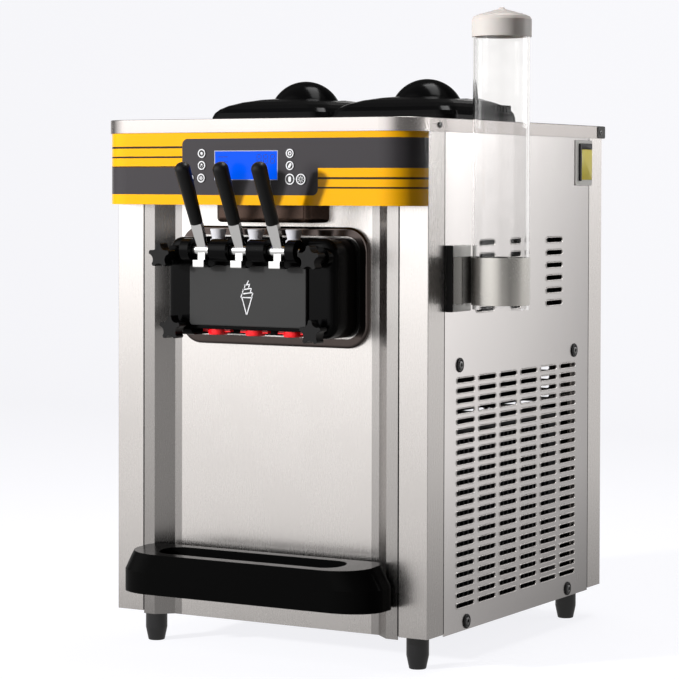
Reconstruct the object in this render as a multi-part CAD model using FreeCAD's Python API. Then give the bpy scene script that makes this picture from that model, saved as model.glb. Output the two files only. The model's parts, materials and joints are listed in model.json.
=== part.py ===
import FreeCAD, Part
import math
import os

from FreeCAD import Rotation, Vector

# Countertop soft-serve machine: stainless cabinet, two mix hoppers, three taps, drip tray and cone dispenser.
# Millimetres, +Z up, front towards -Y, +X to the right seen from the front.
# It is built about the cabinet's own centre line, with y = 0 on the front of the corner posts and z = 0 on the
# floor, and every piece is then shifted so that the origin is the bottom centre of the whole machine's box.

# ---------------------------------------------------------------- driving sizes
cabinet_width = 520.0       # over the corner posts
cabinet_depth = 572.0
cabinet_height = 720.0      # from the bottom of the posts to the top of the cover
foot_height = 50.0

sheet = 1.5                 # folded stainless sheet
panel_gap = 1.5             # open line between a post and a panel
fold_lip = 12.0             # width of the lips folded inwards
post_front = 45.0           # post width seen from the front
post_side = 47.0            # post width seen from the side
post_corner_radius = 2.5
panel_drop = 3.0            # panels hang this far below the posts

cover_overhang = 2.0
cover_rear_overhang = 6.0
cover_band = 19.3           # height of the cover's skirt

head_overhang = 50.0        # control head in front of the posts, also its corner radius
fascia_height = 102.7       # below the cover's skirt
strip_width = 18.5          # flat strips of the front panel beside the posts
recess_wall_run = 23.0      # how far the slanted recess walls run sideways
recess_depth = 20.0

base_height = 28.0
base_wall = 2.0

slot_columns = 6
slot_gap = 12.4             # between two columns of slots
slot_height = 6.5
slot_pitch = 14.45
slot_margin_front = 36.5
slot_margin_rear = 46.5
slot_first = 34.0           # first row above the posts' bottom
slot_clear_above = 98.0     # plain sheet between the lower and upper slots
vent_columns = 3
vent_rows = 6
vent_length = 56.0
vent_pitch = 19.0
vent_height = 7.0
vent_spacing = 114.5
vent_drop = 270.0           # lowest upper slot below the cover's top
rear_slot_columns = 3
rear_slot_length = 110.0
inlet_inset = 117.0         # cable gland from the left side
inlet_rise = 60.0
inlet_radius = 12.0

screw_head_radius = 6.0
screw_shank_radius = 2.5
grommet_radius = 11.0
grommet_thickness = 1.5

display_width = 106.0
display_height = 42.0
display_x = -5.0
display_drop = 66.0         # display centre below the cover's top
button_radius = 5.6
large_button_radius = 7.0
button_travel = 0.8
moving_clearance = 0.3

door_drop = 116.0           # centre of the dispensing head below the fascia
door_width = 280.0
door_height = 140.0
door_corner = 22.0
bezel_rim = 13.0
bezel_gap = 5.0             # between the bezel's inner edge and the door
bezel_depth = 8.0
cowl_half_back = 90.0
cowl_half_front = 76.0
cowl_height = 25.0
cowl_front = -18.0
door_front = -50.0
door_edge_radius = 12.0
head_bay_half = 98.0        # open bay for the levers between the door's two cheeks
plate_side_gap = 43.0       # door edge to the edge of the front plate
plate_height = 86.0
plate_thickness = 5.0

tap_spacing = 63.0
plunger_y = -32.0
plunger_radius = 11.5
plunger_length = 124.0
plunger_top = 82.0          # above the middle of the door
pivot_y = -70.0
nozzle_height = 9.0
pivot_rise = 52.5           # pivot above the centre of the door
pivot_radius = 4.0
running_clearance = 0.08
hub_length = 33.0
end_knuckle_length = 14.5
hub_radius = 7.0
knuckle_radius = 16.0
lever_lean = 25.0           # degrees from upright at rest
lever_length = 135.0        # pivot to the tip of the grip
grip_start = 42.0           # grip's lower end from the pivot
neck_width = 14.0           # inside the grip
neck_flare = 17.5           # where it enters the grip
neck_thickness = 7.0
claw_width = 18.0
claw_middle = (-8.0, -19.0) # claw block forwards and up from the pivot
claw_block = (12.0, 11.0)   # its depth and height
arm_slack = 6.0             # window in the plunger above and below the lever's arm

knob_radius = 17.5
knob_thickness = 18.0
knob_hub_radius = 8.0
stud_radius = 5.0
upper_stud = {"inset": 16.5, "above": 44.0, "seat": -60.0, "face": -94.0}   # inset from the door's side
lower_stud = {"inset": 23.5, "above": -59.0, "seat": -50.0, "face": -77.0}
boss_radius = 14.0

cylinder_x = 70.0
cylinder_radius = 46.0
cylinder_wall = 2.0
cylinder_length = 305.0
shaft_radius = 8.0
beater_arms = 12
spout_y = 200.0             # feed pipe from a hopper to its barrel

compressor_inset = 151.0    # its axis from the left side
compressor_from_rear = 229.0
compressor_radius = 82.0
condenser_start = 97.0      # from the front of the posts
condenser_length = 340.0
condenser_depth = 40.0
condenser_height = 285.0
fan_hole = 118.0

hopper_width = 184.0
hopper_length = 218.0
hopper_depth = 148.0
hopper_inner_edge = 14.0    # hopper wall from the centre line
hopper_start_y = 171.0
hopper_lip = 6.0
hopper_corner = 20.0
lid_overlap = 12.0          # lid beyond the hopper's wall all round
lid_wall = 3.0
lid_corner = 24.0
lid_levels = [              # inset from the lid's edge, height above the cover
    (0.0, 9.0), (2.5, 15.5), (8.0, 21.5), (17.0, 27.0), (32.0, 32.5), (50.0, 36.5), (70.0, 39.0),
]
lid_flat = (62.0, 33.0)     # radius of the flat circle and its height above the cover
dome_rise = 66.0            # top of the dome handle above the cover
dome_radius = 56.7

tray_side_gap = 48.0         # tray ends this far inside the cabinet's sides
tray_end_sweep = 61.0       # length of each curved end
tray_front = -84.0
tray_back = -1.0
tray_bottom = 90.0          # above the floor
tray_height = 62.0
tray_slope = 4.0            # top is lower at the front by this much
tray_end_levels = [(0.0, 0.0), (31.0, 0.0), (52.0, 11.0), (62.0, 17.0)]   # height, ends drawn in by
basin_depth = 42.0
basin_front = -69.0
basin_back = -15.0
tray_peg_radius = 5.0
tray_peg_length = 11.0

cone_tube_radius = 39.5
cone_tube_wall = 2.5
cone_tube_length = 397.0
cone_tube_y = 80.0
cone_tube_offset = 71.0     # tube axis from the side of the cabinet
cone_tube_low = 455.0       # above the bottom of the posts
band_wall = 1.5
band_height = 66.0
band_low = 461.0            # above the bottom of the posts
cone_block_width = 56.0
cone_block_depth = 11.0
cone_block_height = 93.0
cap_skirt = 20.0
cap_height = 41.0

foot_radius = 16.0
foot_toe_radius = 12.0
foot_taper = 19.0
foot_inset = 38.6
foot_y = 44.0
foot_stud_radius = 6.0
foot_travel = 12.0

# ---------------------------------------------------------------- places that follow from them
half_width = cabinet_width / 2
inner_half = half_width - sheet
bottom = foot_height
top = foot_height + cabinet_height
cover_underside = top - sheet
cover_low = top - cover_band
fascia_low = cover_low - fascia_height
base_top = bottom + base_height
strip_outer = half_width - post_front - panel_gap
strip_inner = strip_outer - strip_width
recess_half = strip_inner - recess_wall_run
panel_start = post_side + panel_gap
panel_end = cabinet_depth - post_side - panel_gap
door_mid = fascia_low - door_drop
pivot_z = door_mid + pivot_rise
door_body_low = door_mid - 60.0
door_body_top = pivot_z - 6.5
door_back = recess_depth + sheet
door_half = door_width / 2
tray_half_width = half_width - tray_side_gap
tray_flat_half = tray_half_width - tray_end_sweep
basin_half_width = tray_flat_half + 1.0
tray_peg_x = recess_half + 5.5
tray_peg_z = tray_bottom + 22.0
tap_places = {"left": -tap_spacing, "middle": 0.0, "right": tap_spacing}
hub_half = hub_length / 2
lower_slot_rows = int((top - bottom - vent_drop - slot_clear_above - slot_first) / slot_pitch) + 1
slot_field_top = slot_first + (lower_slot_rows - 1) * slot_pitch
lid_seat = top + sheet
tube_x = half_width + cone_tube_offset
tube_low = bottom + cone_tube_low
tube_top = tube_low + cone_tube_length
cylinder_back = door_back + 4.0 + cylinder_length


# ---------------------------------------------------------------- small makers
def box(x, y, z):
    """A block between three (low, high) spans."""
    return Part.makeBox(x[1] - x[0], y[1] - y[0], z[1] - z[0], Vector(x[0], y[0], z[0]))


def sides(near, far, side):
    """The span from near to far on the +X side, or its mirror on the -X side."""
    return (near, far) if side > 0 else (-far, -near)


def rod(radius, start, end):
    along = Vector(*end) - Vector(*start)
    return Part.makeCylinder(radius, along.Length, Vector(*start), along)


def pipe(outer, inner, start, end):
    return rod(outer, start, end).cut(rod(inner, start, end))


def edges_along(shape, axis):
    found = []
    for edge in shape.Edges:
        way = edge.Vertexes[-1].Point - edge.Vertexes[0].Point
        if way.Length > 0 and abs(abs(way.normalize().dot(axis)) - 1) < 1e-6:
            found.append(edge)
    return found


def edges_at(shape, axis_index, value):
    """Edges that lie wholly in the plane where one coordinate has the given value."""
    return [
        edge
        for edge in shape.Edges
        if all(abs(point[axis_index] - value) < 1e-4 for point in edge.discretize(5))
    ]


def rounded_block(x, y, z, radius, axis):
    block = box(x, y, z)
    return block.makeFillet(radius, edges_along(block, axis))


def prism(points, low, high):
    """A flat outline of (x, y) points raised from low to high."""
    corners = [Vector(x, y, low) for x, y in points]
    outline = Part.makePolygon(corners + corners[:1])
    return Part.Face(outline).extrude(Vector(0, 0, high - low))


def turned(points, base, axis, turn=360.0):
    """A closed (radius, height) outline turned about an axis through base."""
    corners = [Vector(radius, 0, height) for radius, height in points]
    outline = Part.makePolygon(corners + corners[:1])
    solid = Part.Face(outline).revolve(Vector(0, 0, 0), Vector(0, 0, 1), turn)
    solid.Placement = FreeCAD.Placement(Vector(*base), Rotation(Vector(0, 0, 1), Vector(*axis)))
    return solid


def joined(first, *others):
    return first.fuse(list(others)).removeSplitter()


def plan_prism(half, front, radius, rear, low, high):
    """A block with two rounded front corners, seen from above."""
    corner_x = half - radius
    corner_y = front + radius
    bulge = radius * math.sqrt(0.5)
    left = Vector(-half, corner_y, low)
    right = Vector(half, corner_y, low)
    front_left = Vector(-corner_x, front, low)
    front_right = Vector(corner_x, front, low)
    back_right = Vector(half, rear, low)
    back_left = Vector(-half, rear, low)
    edges = [
        Part.Arc(left, Vector(-corner_x - bulge, corner_y - bulge, low), front_left).toShape(),
        Part.LineSegment(front_left, front_right).toShape(),
        Part.Arc(front_right, Vector(corner_x + bulge, corner_y - bulge, low), right).toShape(),
    ]
    ends = [right, back_right, back_left, left] if rear > corner_y + 1e-6 else [right, left]
    edges += [Part.LineSegment(a, b).toShape() for a, b in zip(ends, ends[1:])]
    return Part.Face(Part.Wire(edges)).extrude(Vector(0, 0, high - low))


def slot_wire(start, end, middle, height, place):
    """A round-ended slot; place(along, z) puts its points on the sheet."""
    radius = height / 2
    first, last = start + radius, end - radius
    low_first, low_last = place(first, middle - radius), place(last, middle - radius)
    top_first, top_last = place(first, middle + radius), place(last, middle + radius)
    return Part.Wire(
        [
            Part.LineSegment(low_first, low_last).toShape(),
            Part.Arc(low_last, place(end, middle), top_last).toShape(),
            Part.LineSegment(top_last, top_first).toShape(),
            Part.Arc(top_first, place(start, middle), low_first).toShape(),
        ]
    )


def pierced_sheet(span, z, place, slots, holes, thickness):
    """A flat sheet over a span with slots (start, end, middle, height) and round holes (along, z, radius)."""
    corners = [place(span[0], z[0]), place(span[1], z[0]), place(span[1], z[1]), place(span[0], z[1])]
    wires = [Part.makePolygon(corners + corners[:1])]
    wires += [slot_wire(*slot, place) for slot in slots]
    for along, middle, radius in holes:
        ring = Part.Circle(place(along, middle), thickness, radius).toShape()
        wires.append(Part.Wire([ring]))
    return Part.makeFace(wires, "Part::FaceMakerBullseye").extrude(thickness)


# ---------------------------------------------------------------- cabinet
foot_places = {
    "front_left": (-half_width + foot_inset, foot_y),
    "front_right": (half_width - foot_inset, foot_y),
    "rear_left": (-half_width + foot_inset, cabinet_depth - foot_y),
    "rear_right": (half_width - foot_inset, cabinet_depth - foot_y),
}


def base_frame():
    """Folded pan that everything stands on, with a threaded block over each foot."""
    y = (door_back, cabinet_depth - sheet)
    pan = box((-inner_half, inner_half), y, (bottom, base_top))
    hollow_x = (-inner_half + base_wall, inner_half - base_wall)
    pan = pan.cut(box(hollow_x, (y[0] + base_wall, y[1] - base_wall), (bottom + base_wall, base_top)))
    blocks = []
    for side in (-1, 1):
        lug_x = sides(half_width - post_front + sheet, inner_half, side)
        blocks.append(box(lug_x, (sheet, door_back + base_wall), (bottom, base_top)))
    for x, y_mid in foot_places.values():
        blocks.append(box((x - 20, x + 20), (y_mid - 20, y_mid + 20), (bottom, base_top)))
    frame = joined(pan, *blocks)
    for x, y_mid in foot_places.values():
        bore = foot_stud_radius + running_clearance
        frame = frame.cut(rod(bore, (x, y_mid, bottom - 1), (x, y_mid, base_top + 1)))
    for y_mid, z in side_screw_places():
        tapped = rod(screw_shank_radius, (-half_width, y_mid, z), (half_width, y_mid, z))
        frame = frame.cut(tapped)
    return frame


def corner_post(side, front):
    """L-shaped post with a lip folded inwards along each edge."""
    face_x = sides(half_width - post_front, half_width, side)
    face_y = (0, sheet) if front else (cabinet_depth - sheet, cabinet_depth)
    side_x = sides(inner_half, half_width, side)
    side_y = (0, post_side) if front else (cabinet_depth - post_side, cabinet_depth)
    full = (bottom, cover_underside)
    post = joined(box(face_x, face_y, full), box(side_x, side_y, full))
    corner_y = 0 if front else cabinet_depth
    corner = [
        edge
        for edge in edges_along(post, Vector(0, 0, 1))
        if abs(edge.Vertexes[0].X - side * half_width) < 1e-4 and abs(edge.Vertexes[0].Y - corner_y) < 1e-4
    ]
    post = post.makeFillet(post_corner_radius - 1.2, corner)
    above = (base_top, cover_underside)
    lip_x = sides(inner_half - fold_lip, inner_half, side)
    lip_y = (post_side - sheet, post_side) if front else (side_y[0], side_y[0] + sheet)
    inner_x = sides(half_width - post_front, half_width - post_front + sheet, side)
    inner_y = (sheet, fold_lip) if front else (cabinet_depth - fold_lip, cabinet_depth - sheet)
    return joined(post, box(lip_x, lip_y, above), box(inner_x, inner_y, above))


def corner_posts():
    return Part.makeCompound([corner_post(side, front) for side in (-1, 1) for front in (True, False)])


def side_slots():
    """Slots of one side panel as (start, end, middle, height)."""
    clear = panel_end - panel_start - slot_margin_front - slot_margin_rear
    length = (clear - (slot_columns - 1) * slot_gap) / slot_columns
    slots = []
    for column in range(slot_columns):
        start = panel_start + slot_margin_front + column * (length + slot_gap)
        for row in range(lower_slot_rows):
            slots.append((start, start + length, bottom + slot_first + row * slot_pitch, slot_height))
    middle = (panel_start + panel_end) / 2
    for column in range(vent_columns):
        centre = middle + (column - (vent_columns - 1) / 2) * vent_spacing
        for row in range(vent_rows):
            z = top - vent_drop + row * vent_pitch
            slots.append((centre - vent_length / 2, centre + vent_length / 2, z, vent_height))
    return slots


def side_screw_places():
    upper = bottom + slot_field_top + 22.0
    lower = bottom + 9.0
    return [
        (panel_start + 45.5, upper),
        (panel_end - 51.5, upper),
        (panel_start + 68.5, lower),
        (panel_end - 71.5, lower),
    ]


def side_panel(side):
    x = side * inner_half
    holes = [(y, z, screw_shank_radius + moving_clearance) for y, z in side_screw_places()]
    skin = pierced_sheet(
        (panel_start, panel_end),
        (bottom - panel_drop, cover_underside),
        lambda along, z: Vector(x, along, z),
        side_slots(),
        holes,
        Vector(side * sheet, 0, 0),
    )
    lip_x = sides(inner_half - fold_lip, inner_half, side)
    lips = [
        box(lip_x, (panel_start, panel_start + sheet), (base_top, cover_underside)),
        box(lip_x, (panel_end - sheet, panel_end), (base_top, cover_underside)),
    ]
    return joined(skin, *lips)


inlet_place = (-half_width + inlet_inset, bottom + inlet_rise)


def rear_panel():
    y = cabinet_depth - sheet
    pitch = (2 * strip_outer - 80.0) / rear_slot_columns
    slots = []
    for column in range(rear_slot_columns):
        centre = (column - (rear_slot_columns - 1) / 2) * pitch
        for row in range(4, lower_slot_rows):
            z = bottom + slot_first + row * slot_pitch
            slots.append((centre - rear_slot_length / 2, centre + rear_slot_length / 2, z, slot_height))
    skin = pierced_sheet(
        (-strip_outer, strip_outer),
        (bottom - panel_drop, cover_underside),
        lambda along, z: Vector(along, y, z),
        slots,
        [(inlet_place[0], inlet_place[1], inlet_radius - 3.0)],
        Vector(0, sheet, 0),
    )
    lips = [
        box(sides(strip_outer - sheet, strip_outer, side), (y - fold_lip, y), (base_top, cover_underside))
        for side in (-1, 1)
    ]
    return joined(skin, *lips)


def power_inlet():
    """Cable gland through the rear panel, with its nut inside."""
    x, z = inlet_place
    y = cabinet_depth
    body = rod(inlet_radius - 3.0, (x, y - 14, z), (x, y + 12, z))
    dome = turned([(0, 0), (inlet_radius, 0), (inlet_radius, 6), (8, 12), (0, 12)], (x, y, z), (0, 1, 0))
    nut = rod(inlet_radius, (x, y - sheet - 5, z), (x, y - sheet, z))
    return joined(body, dome, nut).cut(rod(4.5, (x, y - 20, z), (x, y + 20, z)))


def front_panel():
    """One sheet folded into two strips, two slanted walls and the flat recess that carries the tap head."""
    wall_length = math.hypot(recess_wall_run, recess_depth)
    inset = sheet * (wall_length - recess_wall_run) / recess_depth
    front_line = [(strip_outer, 0), (strip_inner, 0), (recess_half, recess_depth)]
    rear_line = [
        (recess_half + inset, recess_depth + sheet),
        (strip_inner + inset, sheet),
        (strip_outer, sheet),
    ]
    outline = front_line + [(-x, y) for x, y in reversed(front_line)]
    outline += [(-x, y) for x, y in reversed(rear_line)] + rear_line
    panel = prism(outline, bottom - panel_drop - 1.0, cover_underside)
    hole = rounded_block(
        (-door_half - 2.5, door_half + 2.5),
        (0, recess_depth + 10),
        (door_mid - door_height / 2 - 0.5, door_mid + door_height / 2 + 0.5),
        door_corner + 2,
        Vector(0, 1, 0),
    )
    panel = panel.cut(hole)
    lips = [
        box(sides(strip_outer - sheet, strip_outer, side), (sheet, fold_lip), (base_top, cover_underside))
        for side in (-1, 1)
    ]
    pegs = [
        rod(tray_peg_radius, (side * tray_peg_x, 18.0, tray_peg_z), (side * tray_peg_x, -tray_peg_length, tray_peg_z))
        for side in (-1, 1)
    ]
    return joined(panel, *lips, *pegs)


def top_cover():
    rear = cabinet_depth + cover_rear_overhang
    outer_half = half_width + cover_overhang
    front = -head_overhang - cover_overhang
    radius = head_overhang + cover_overhang
    cover = plan_prism(outer_half, front, radius, rear, cover_low, top)
    cover = cover.makeFillet(1.2, edges_at(cover, 2, top))
    inside = plan_prism(
        outer_half - sheet, front + sheet, radius - sheet, rear - sheet, cover_low, cover_underside
    )
    cover = cover.cut(inside)
    for side in (-1, 1):
        cover = cover.cut(hopper_shell(side, 0.5, top - 30, top + 5))
        for y in (28.0, cabinet_depth - 11.0):
            x = side * (outer_half - sheet - 1)
            z = cover_low + cover_band / 2
            cover = cover.cut(rod(screw_shank_radius, (x, y, z), (side * (outer_half + 1), y, z)))
    return cover


def cabinet_screws():
    """Pan-head screws with black grommets on the side panels, and plain ones through the cover's skirt."""
    pieces = []
    for side in (-1, 1):
        x = side * half_width
        out = (side, 0, 0)
        for y, z in side_screw_places():
            disc = [(0, 0), (grommet_radius, 0), (grommet_radius - 0.5, grommet_thickness), (0, grommet_thickness)]
            head = [(0, 0), (screw_head_radius, 0), (screw_head_radius - 1.5, 2.6), (0, 2.6)]
            shank = rod(screw_shank_radius, (x - side * 9, y, z), (x, y, z))
            pieces.append(joined(turned(disc, (x, y, z), out), turned(head, (x, y, z), out), shank))
        x = side * (half_width + cover_overhang)
        z = cover_low + cover_band / 2
        for y in (28.0, cabinet_depth - 11.0):
            head = [(0, 0), (4.5, 0), (3.4, 2.0), (0, 2.0)]
            shank = rod(screw_shank_radius, (x - side * sheet, y, z), (x, y, z))
            pieces.append(joined(turned(head, (x, y, z), out), shank))
    return Part.makeCompound(pieces)


def foot(place):
    x, y = foot_places[place]
    outline = [(0, 0), (foot_toe_radius, 0), (foot_radius, foot_taper), (foot_radius, foot_height), (0, foot_height)]
    body = turned(outline, (x, y, 0), (0, 0, 1))
    body = body.makeFillet(1.5, edges_at(body, 2, 0.0))
    stud = rod(foot_stud_radius, (x, y, foot_height - 1), (x, y, base_top + foot_travel))
    return joined(body, stud)


# ---------------------------------------------------------------- control head
display_z = top - display_drop
button_places = {
    "stop": (-79.0, 17.0, button_radius),
    "wash": (-79.0, 0.0, button_radius),
    "chill": (-99.0, -18.0, button_radius),
    "freeze": (-80.0, -18.0, button_radius),
    "set": (68.0, 16.5, button_radius),
    "hard": (68.0, -0.5, button_radius),
    "soft": (68.0, -19.5, large_button_radius),
    "light": (86.0, -19.5, large_button_radius),
}


def control_fascia():
    """Wrap-round head sheet with a floor that closes back onto the front panel."""
    outer = plan_prism(half_width, -head_overhang, head_overhang, 0, fascia_low, cover_underside)
    inner = plan_prism(
        half_width - sheet, -head_overhang + sheet, head_overhang - sheet, 0, fascia_low + sheet, cover_underside
    )
    shell = outer.cut(inner)
    tongue = [
        (strip_inner - 0.3, -0.5),
        (recess_half - 0.3, recess_depth),
        (-recess_half + 0.3, recess_depth),
        (-strip_inner + 0.3, -0.5),
    ]
    shell = joined(shell, prism(tongue, fascia_low, fascia_low + sheet))
    window = box(
        (display_x - display_width / 2, display_x + display_width / 2),
        (-head_overhang - 1, -head_overhang + sheet + 1),
        (display_z - display_height / 2, display_z + display_height / 2),
    )
    shell = shell.cut(window)
    for x, rise, radius in button_places.values():
        z = display_z + rise
        hole = rod(radius + moving_clearance, (x, -head_overhang - 1, z), (x, -head_overhang + 5, z))
        shell = shell.cut(hole)
    return shell


def lcd_display():
    """Display window with its circuit board behind the fascia."""
    half_x, half_z = display_width / 2, display_height / 2
    front = -head_overhang
    window = box(
        (display_x - half_x, display_x + half_x), (front - 0.3, front + 3), (display_z - half_z, display_z + half_z)
    )
    board = box(
        (display_x - half_x - 7, display_x + half_x + 7), (front + 3, front + 11), (display_z - 26, display_z + 26)
    )
    return joined(window, board)


def button(name):
    x, rise, radius = button_places[name]
    z = display_z + rise
    face = -head_overhang - button_travel - 0.4
    inside = -head_overhang + sheet + moving_clearance
    cap = rod(radius, (x, face, z), (x, inside, z))
    cap = cap.makeFillet(0.5, edges_at(cap, 1, face))
    flange = rod(radius + 1.2, (x, inside, z), (x, inside + 1.5, z))
    return joined(cap, flange, rod(radius - 2, (x, inside, z), (x, inside + 6, z)))


def light_cowl():
    """Low bronze housing under the head, tapered forwards, open below for the lamp."""
    low = fascia_low - cowl_height
    back = recess_depth
    outline = [
        (cowl_half_back, back), (cowl_half_front, cowl_front), (-cowl_half_front, cowl_front), (-cowl_half_back, back)
    ]
    body = prism(outline, low, fascia_low)
    uprights = [edge for edge in edges_along(body, Vector(0, 0, 1)) if edge.Vertexes[0].Y < 0]
    body = body.makeFillet(12.0, uprights)
    body = body.makeFillet(7.0, [edge for edge in edges_at(body, 2, low) if edge.BoundBox.YMin < back - 1])
    hollow = box((10 - cowl_half_front, cowl_half_front - 10), (cowl_front + 12, back - 6), (low, low + 6))
    return body.cut(hollow)


# ---------------------------------------------------------------- dispensing head
def framed(half_x, half_z, y, radius):
    """A rounded block about the middle of the dispensing head."""
    return rounded_block((-half_x, half_x), y, (door_mid - half_z, door_mid + half_z), radius, Vector(0, 1, 0))


def door_bezel():
    inner_x = door_half + bezel_gap
    inner_z = door_height / 2 + bezel_gap / 2
    y = (recess_depth - bezel_depth, recess_depth)
    ring = framed(inner_x + bezel_rim, inner_z + bezel_rim, y, door_corner + bezel_rim)
    ring = ring.makeFillet(4.0, edges_at(ring, 1, y[0]))
    return ring.cut(framed(inner_x, inner_z, (y[0] - 1, y[1] + 1), door_corner + 1))


def knuckle_spans():
    """Where the four hinge knuckles of the door stand along the pivot."""
    gap = 0.5
    inner = (hub_half + gap, tap_spacing - hub_half - gap)
    outer = (tap_spacing + hub_half + gap, tap_spacing + hub_half + gap + end_knuckle_length)
    return [sides(*span, side) for side in (-1, 1) for span in (inner, outer)]


def stud_places():
    """Every clamping stud as (x, z, seat of its knob, face of its knob)."""
    return [
        (side * (door_half - stud["inset"]), door_mid + stud["above"], stud["seat"], stud["face"])
        for side in (-1, 1)
        for stud in (upper_stud, lower_stud)
    ]


def dispensing_door():
    """Black head: a deep rounded block with a bay for the levers, hinge knuckles, bores and mix passages."""
    door = framed(door_half, door_height / 2, (door_front, door_back), door_corner)
    door = door.makeFillet(door_edge_radius, edges_at(door, 1, door_front))
    bay_x, bay_y = (-head_bay_half, head_bay_half), (door_front - 1, 6.0)
    door = door.cut(box(bay_x, bay_y, (door_body_top, top)))
    door = door.cut(box(bay_x, bay_y, (bottom, door_body_low)))
    extras = []
    for span in knuckle_spans():
        extras.append(rod(knuckle_radius, (span[0], pivot_y, pivot_z), (span[1], pivot_y, pivot_z)))
        extras.append(box(span, (pivot_y, -40), (pivot_z - knuckle_radius, pivot_z)))
    for x, z, seat, face in stud_places():
        if seat < door_front:
            extras.append(rod(boss_radius, (x, door_front + 2, z), (x, seat, z)))
    door = joined(door, *extras)
    for x, z, seat, face in stud_places():
        door = door.cut(rod(stud_radius + moving_clearance, (x, 30, z), (x, seat - 5, z)))
    pin = rod(pivot_radius, (-head_bay_half, pivot_y, pivot_z), (head_bay_half, pivot_y, pivot_z))
    door = door.cut(pin)
    for x in tap_places.values():
        bore = plunger_radius + moving_clearance
        door = door.cut(rod(bore, (x, plunger_y, door_body_low - 1), (x, plunger_y, door_body_top + 1)))
    passage_z = door_mid - 30
    for side in (-1, 1):
        x = side * tap_spacing
        door = door.cut(rod(8.0, (x, plunger_y, passage_z), (x, door_back + 1, passage_z)))
        seat = (side * cylinder_x, door_back, door_mid)
        groove = pipe(cylinder_radius + 3, cylinder_radius, seat, (seat[0], door_back - sheet, seat[2]))
        door = door.cut(groove)
        bearing = shaft_radius + moving_clearance
        door = door.cut(rod(bearing, (seat[0], door_back, seat[2]), (seat[0], door_back - 9, seat[2])))
    return door.cut(rod(4.0, (-tap_spacing, plunger_y, passage_z), (tap_spacing, plunger_y, passage_z)))


def door_front_plate():
    low = door_mid - 55.0
    y = (door_front - plate_thickness, door_front)
    half = door_half - plate_side_gap
    plate = rounded_block((-half, half), y, (low, low + plate_height), 5.0, Vector(0, 1, 0))
    plate = plate.makeFillet(1.5, edges_at(plate, 1, y[0]))
    for x in tap_places.values():
        z = low + plate_height + 6
        plate = plate.cut(rod(10.0, (x, y[0] - 1, z), (x, y[1] + 1, z)))
    return plate


def door_seals():
    rings = []
    for side in (-1, 1):
        x = side * cylinder_x
        rings.append(
            pipe(cylinder_radius + 3, cylinder_radius, (x, door_back, door_mid), (x, door_back - sheet, door_mid))
        )
    return Part.makeCompound(rings)


def door_studs():
    return Part.makeCompound(
        [rod(stud_radius, (x, door_back, z), (x, face + knob_thickness - 4, z)) for x, z, seat, face in stud_places()]
    )


def star_knob(x, z, seat, face):
    """Five-lobed clamping knob on a stud."""

    def place(degrees, radius):
        angle = math.radians(degrees)
        return Vector(x + radius * math.sin(angle), face, z + radius * math.cos(angle))

    edges = []
    tip, shoulder, valley = knob_radius, knob_radius - 1.0, knob_radius * 0.63
    for lobe in range(5):
        a = 72 * lobe
        edges.append(Part.Arc(place(a - 10, shoulder), place(a, tip), place(a + 10, shoulder)).toShape())
        edges.append(Part.Arc(place(a + 10, shoulder), place(a + 36, valley), place(a + 62, shoulder)).toShape())
    star = Part.Face(Part.Wire(edges)).extrude(Vector(0, knob_thickness, 0))
    hub = rod(knob_hub_radius, (x, face + 4, z), (x, seat - moving_clearance, z))
    knob = joined(star, hub)
    bore_end = face + knob_thickness - 4.5
    return knob.cut(rod(stud_radius + running_clearance, (x, 0, z), (x, bore_end, z)))


def pivot_shaft():
    end = tap_spacing + hub_half + end_knuckle_length + 2.5
    shaft = rod(pivot_radius, (-end, pivot_y, pivot_z), (end, pivot_y, pivot_z))
    return shaft.makeChamfer(0.8, edges_at(shaft, 0, -end) + edges_at(shaft, 0, end))


def at_pivot(shape, x, lean):
    """Places a lever piece made about the origin onto the pivot, leaning forwards."""
    shape.Placement = FreeCAD.Placement(Vector(x, pivot_y, pivot_z), Rotation(Vector(1, 0, 0), lean))
    return shape


def lever(x):
    """Steel lever: hub, flared neck up into the grip, claw in front and the arm that lifts the plunger."""
    half_y = neck_thickness / 2
    flare = [(-6.8, 2), (6.8, 2), (neck_flare / 2, grip_start - 8), (neck_flare / 2, grip_start)]
    flare += [(-neck_flare / 2, grip_start), (-neck_flare / 2, grip_start - 8)]
    corners = [Vector(across, -half_y, up) for across, up in flare]
    neck = Part.Face(Part.makePolygon(corners + corners[:1])).extrude(Vector(0, neck_thickness, 0))
    tang = box((-neck_width / 2, neck_width / 2), (-half_y, half_y), (grip_start - 1, grip_start + 20))
    neck = at_pivot(joined(neck, tang), x, lever_lean)
    hub = rod(hub_radius, (x - hub_half, pivot_y, pivot_z), (x + hub_half, pivot_y, pivot_z))
    hub = hub.makeFillet(1.0, edges_at(hub, 0, x - hub_half) + edges_at(hub, 0, x + hub_half))
    forwards, down = pivot_y + claw_middle[0], pivot_z + claw_middle[1]
    deep, high = claw_block
    across = (x - claw_width / 2, x + claw_width / 2)
    claw_y, claw_z = (forwards - deep / 2, forwards + deep / 2), (down - high / 2, down + high / 2)
    claw = rounded_block(across, claw_y, claw_z, 1.5, Vector(1, 0, 0))
    link = box((x - 6, x + 6), (pivot_y - 6, pivot_y + 1), (down, pivot_z))
    arm = box((x - 3.5, x + 3.5), (pivot_y, plunger_y), (pivot_z - 3, pivot_z + 3))
    tip = rod(3.0, (x - 3.5, plunger_y, pivot_z), (x + 3.5, plunger_y, pivot_z))
    piece = joined(hub, neck, claw, link, arm, tip)
    bore = pivot_radius + running_clearance
    return piece.cut(rod(bore, (x - hub_length, pivot_y, pivot_z), (x + hub_length, pivot_y, pivot_z)))


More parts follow.
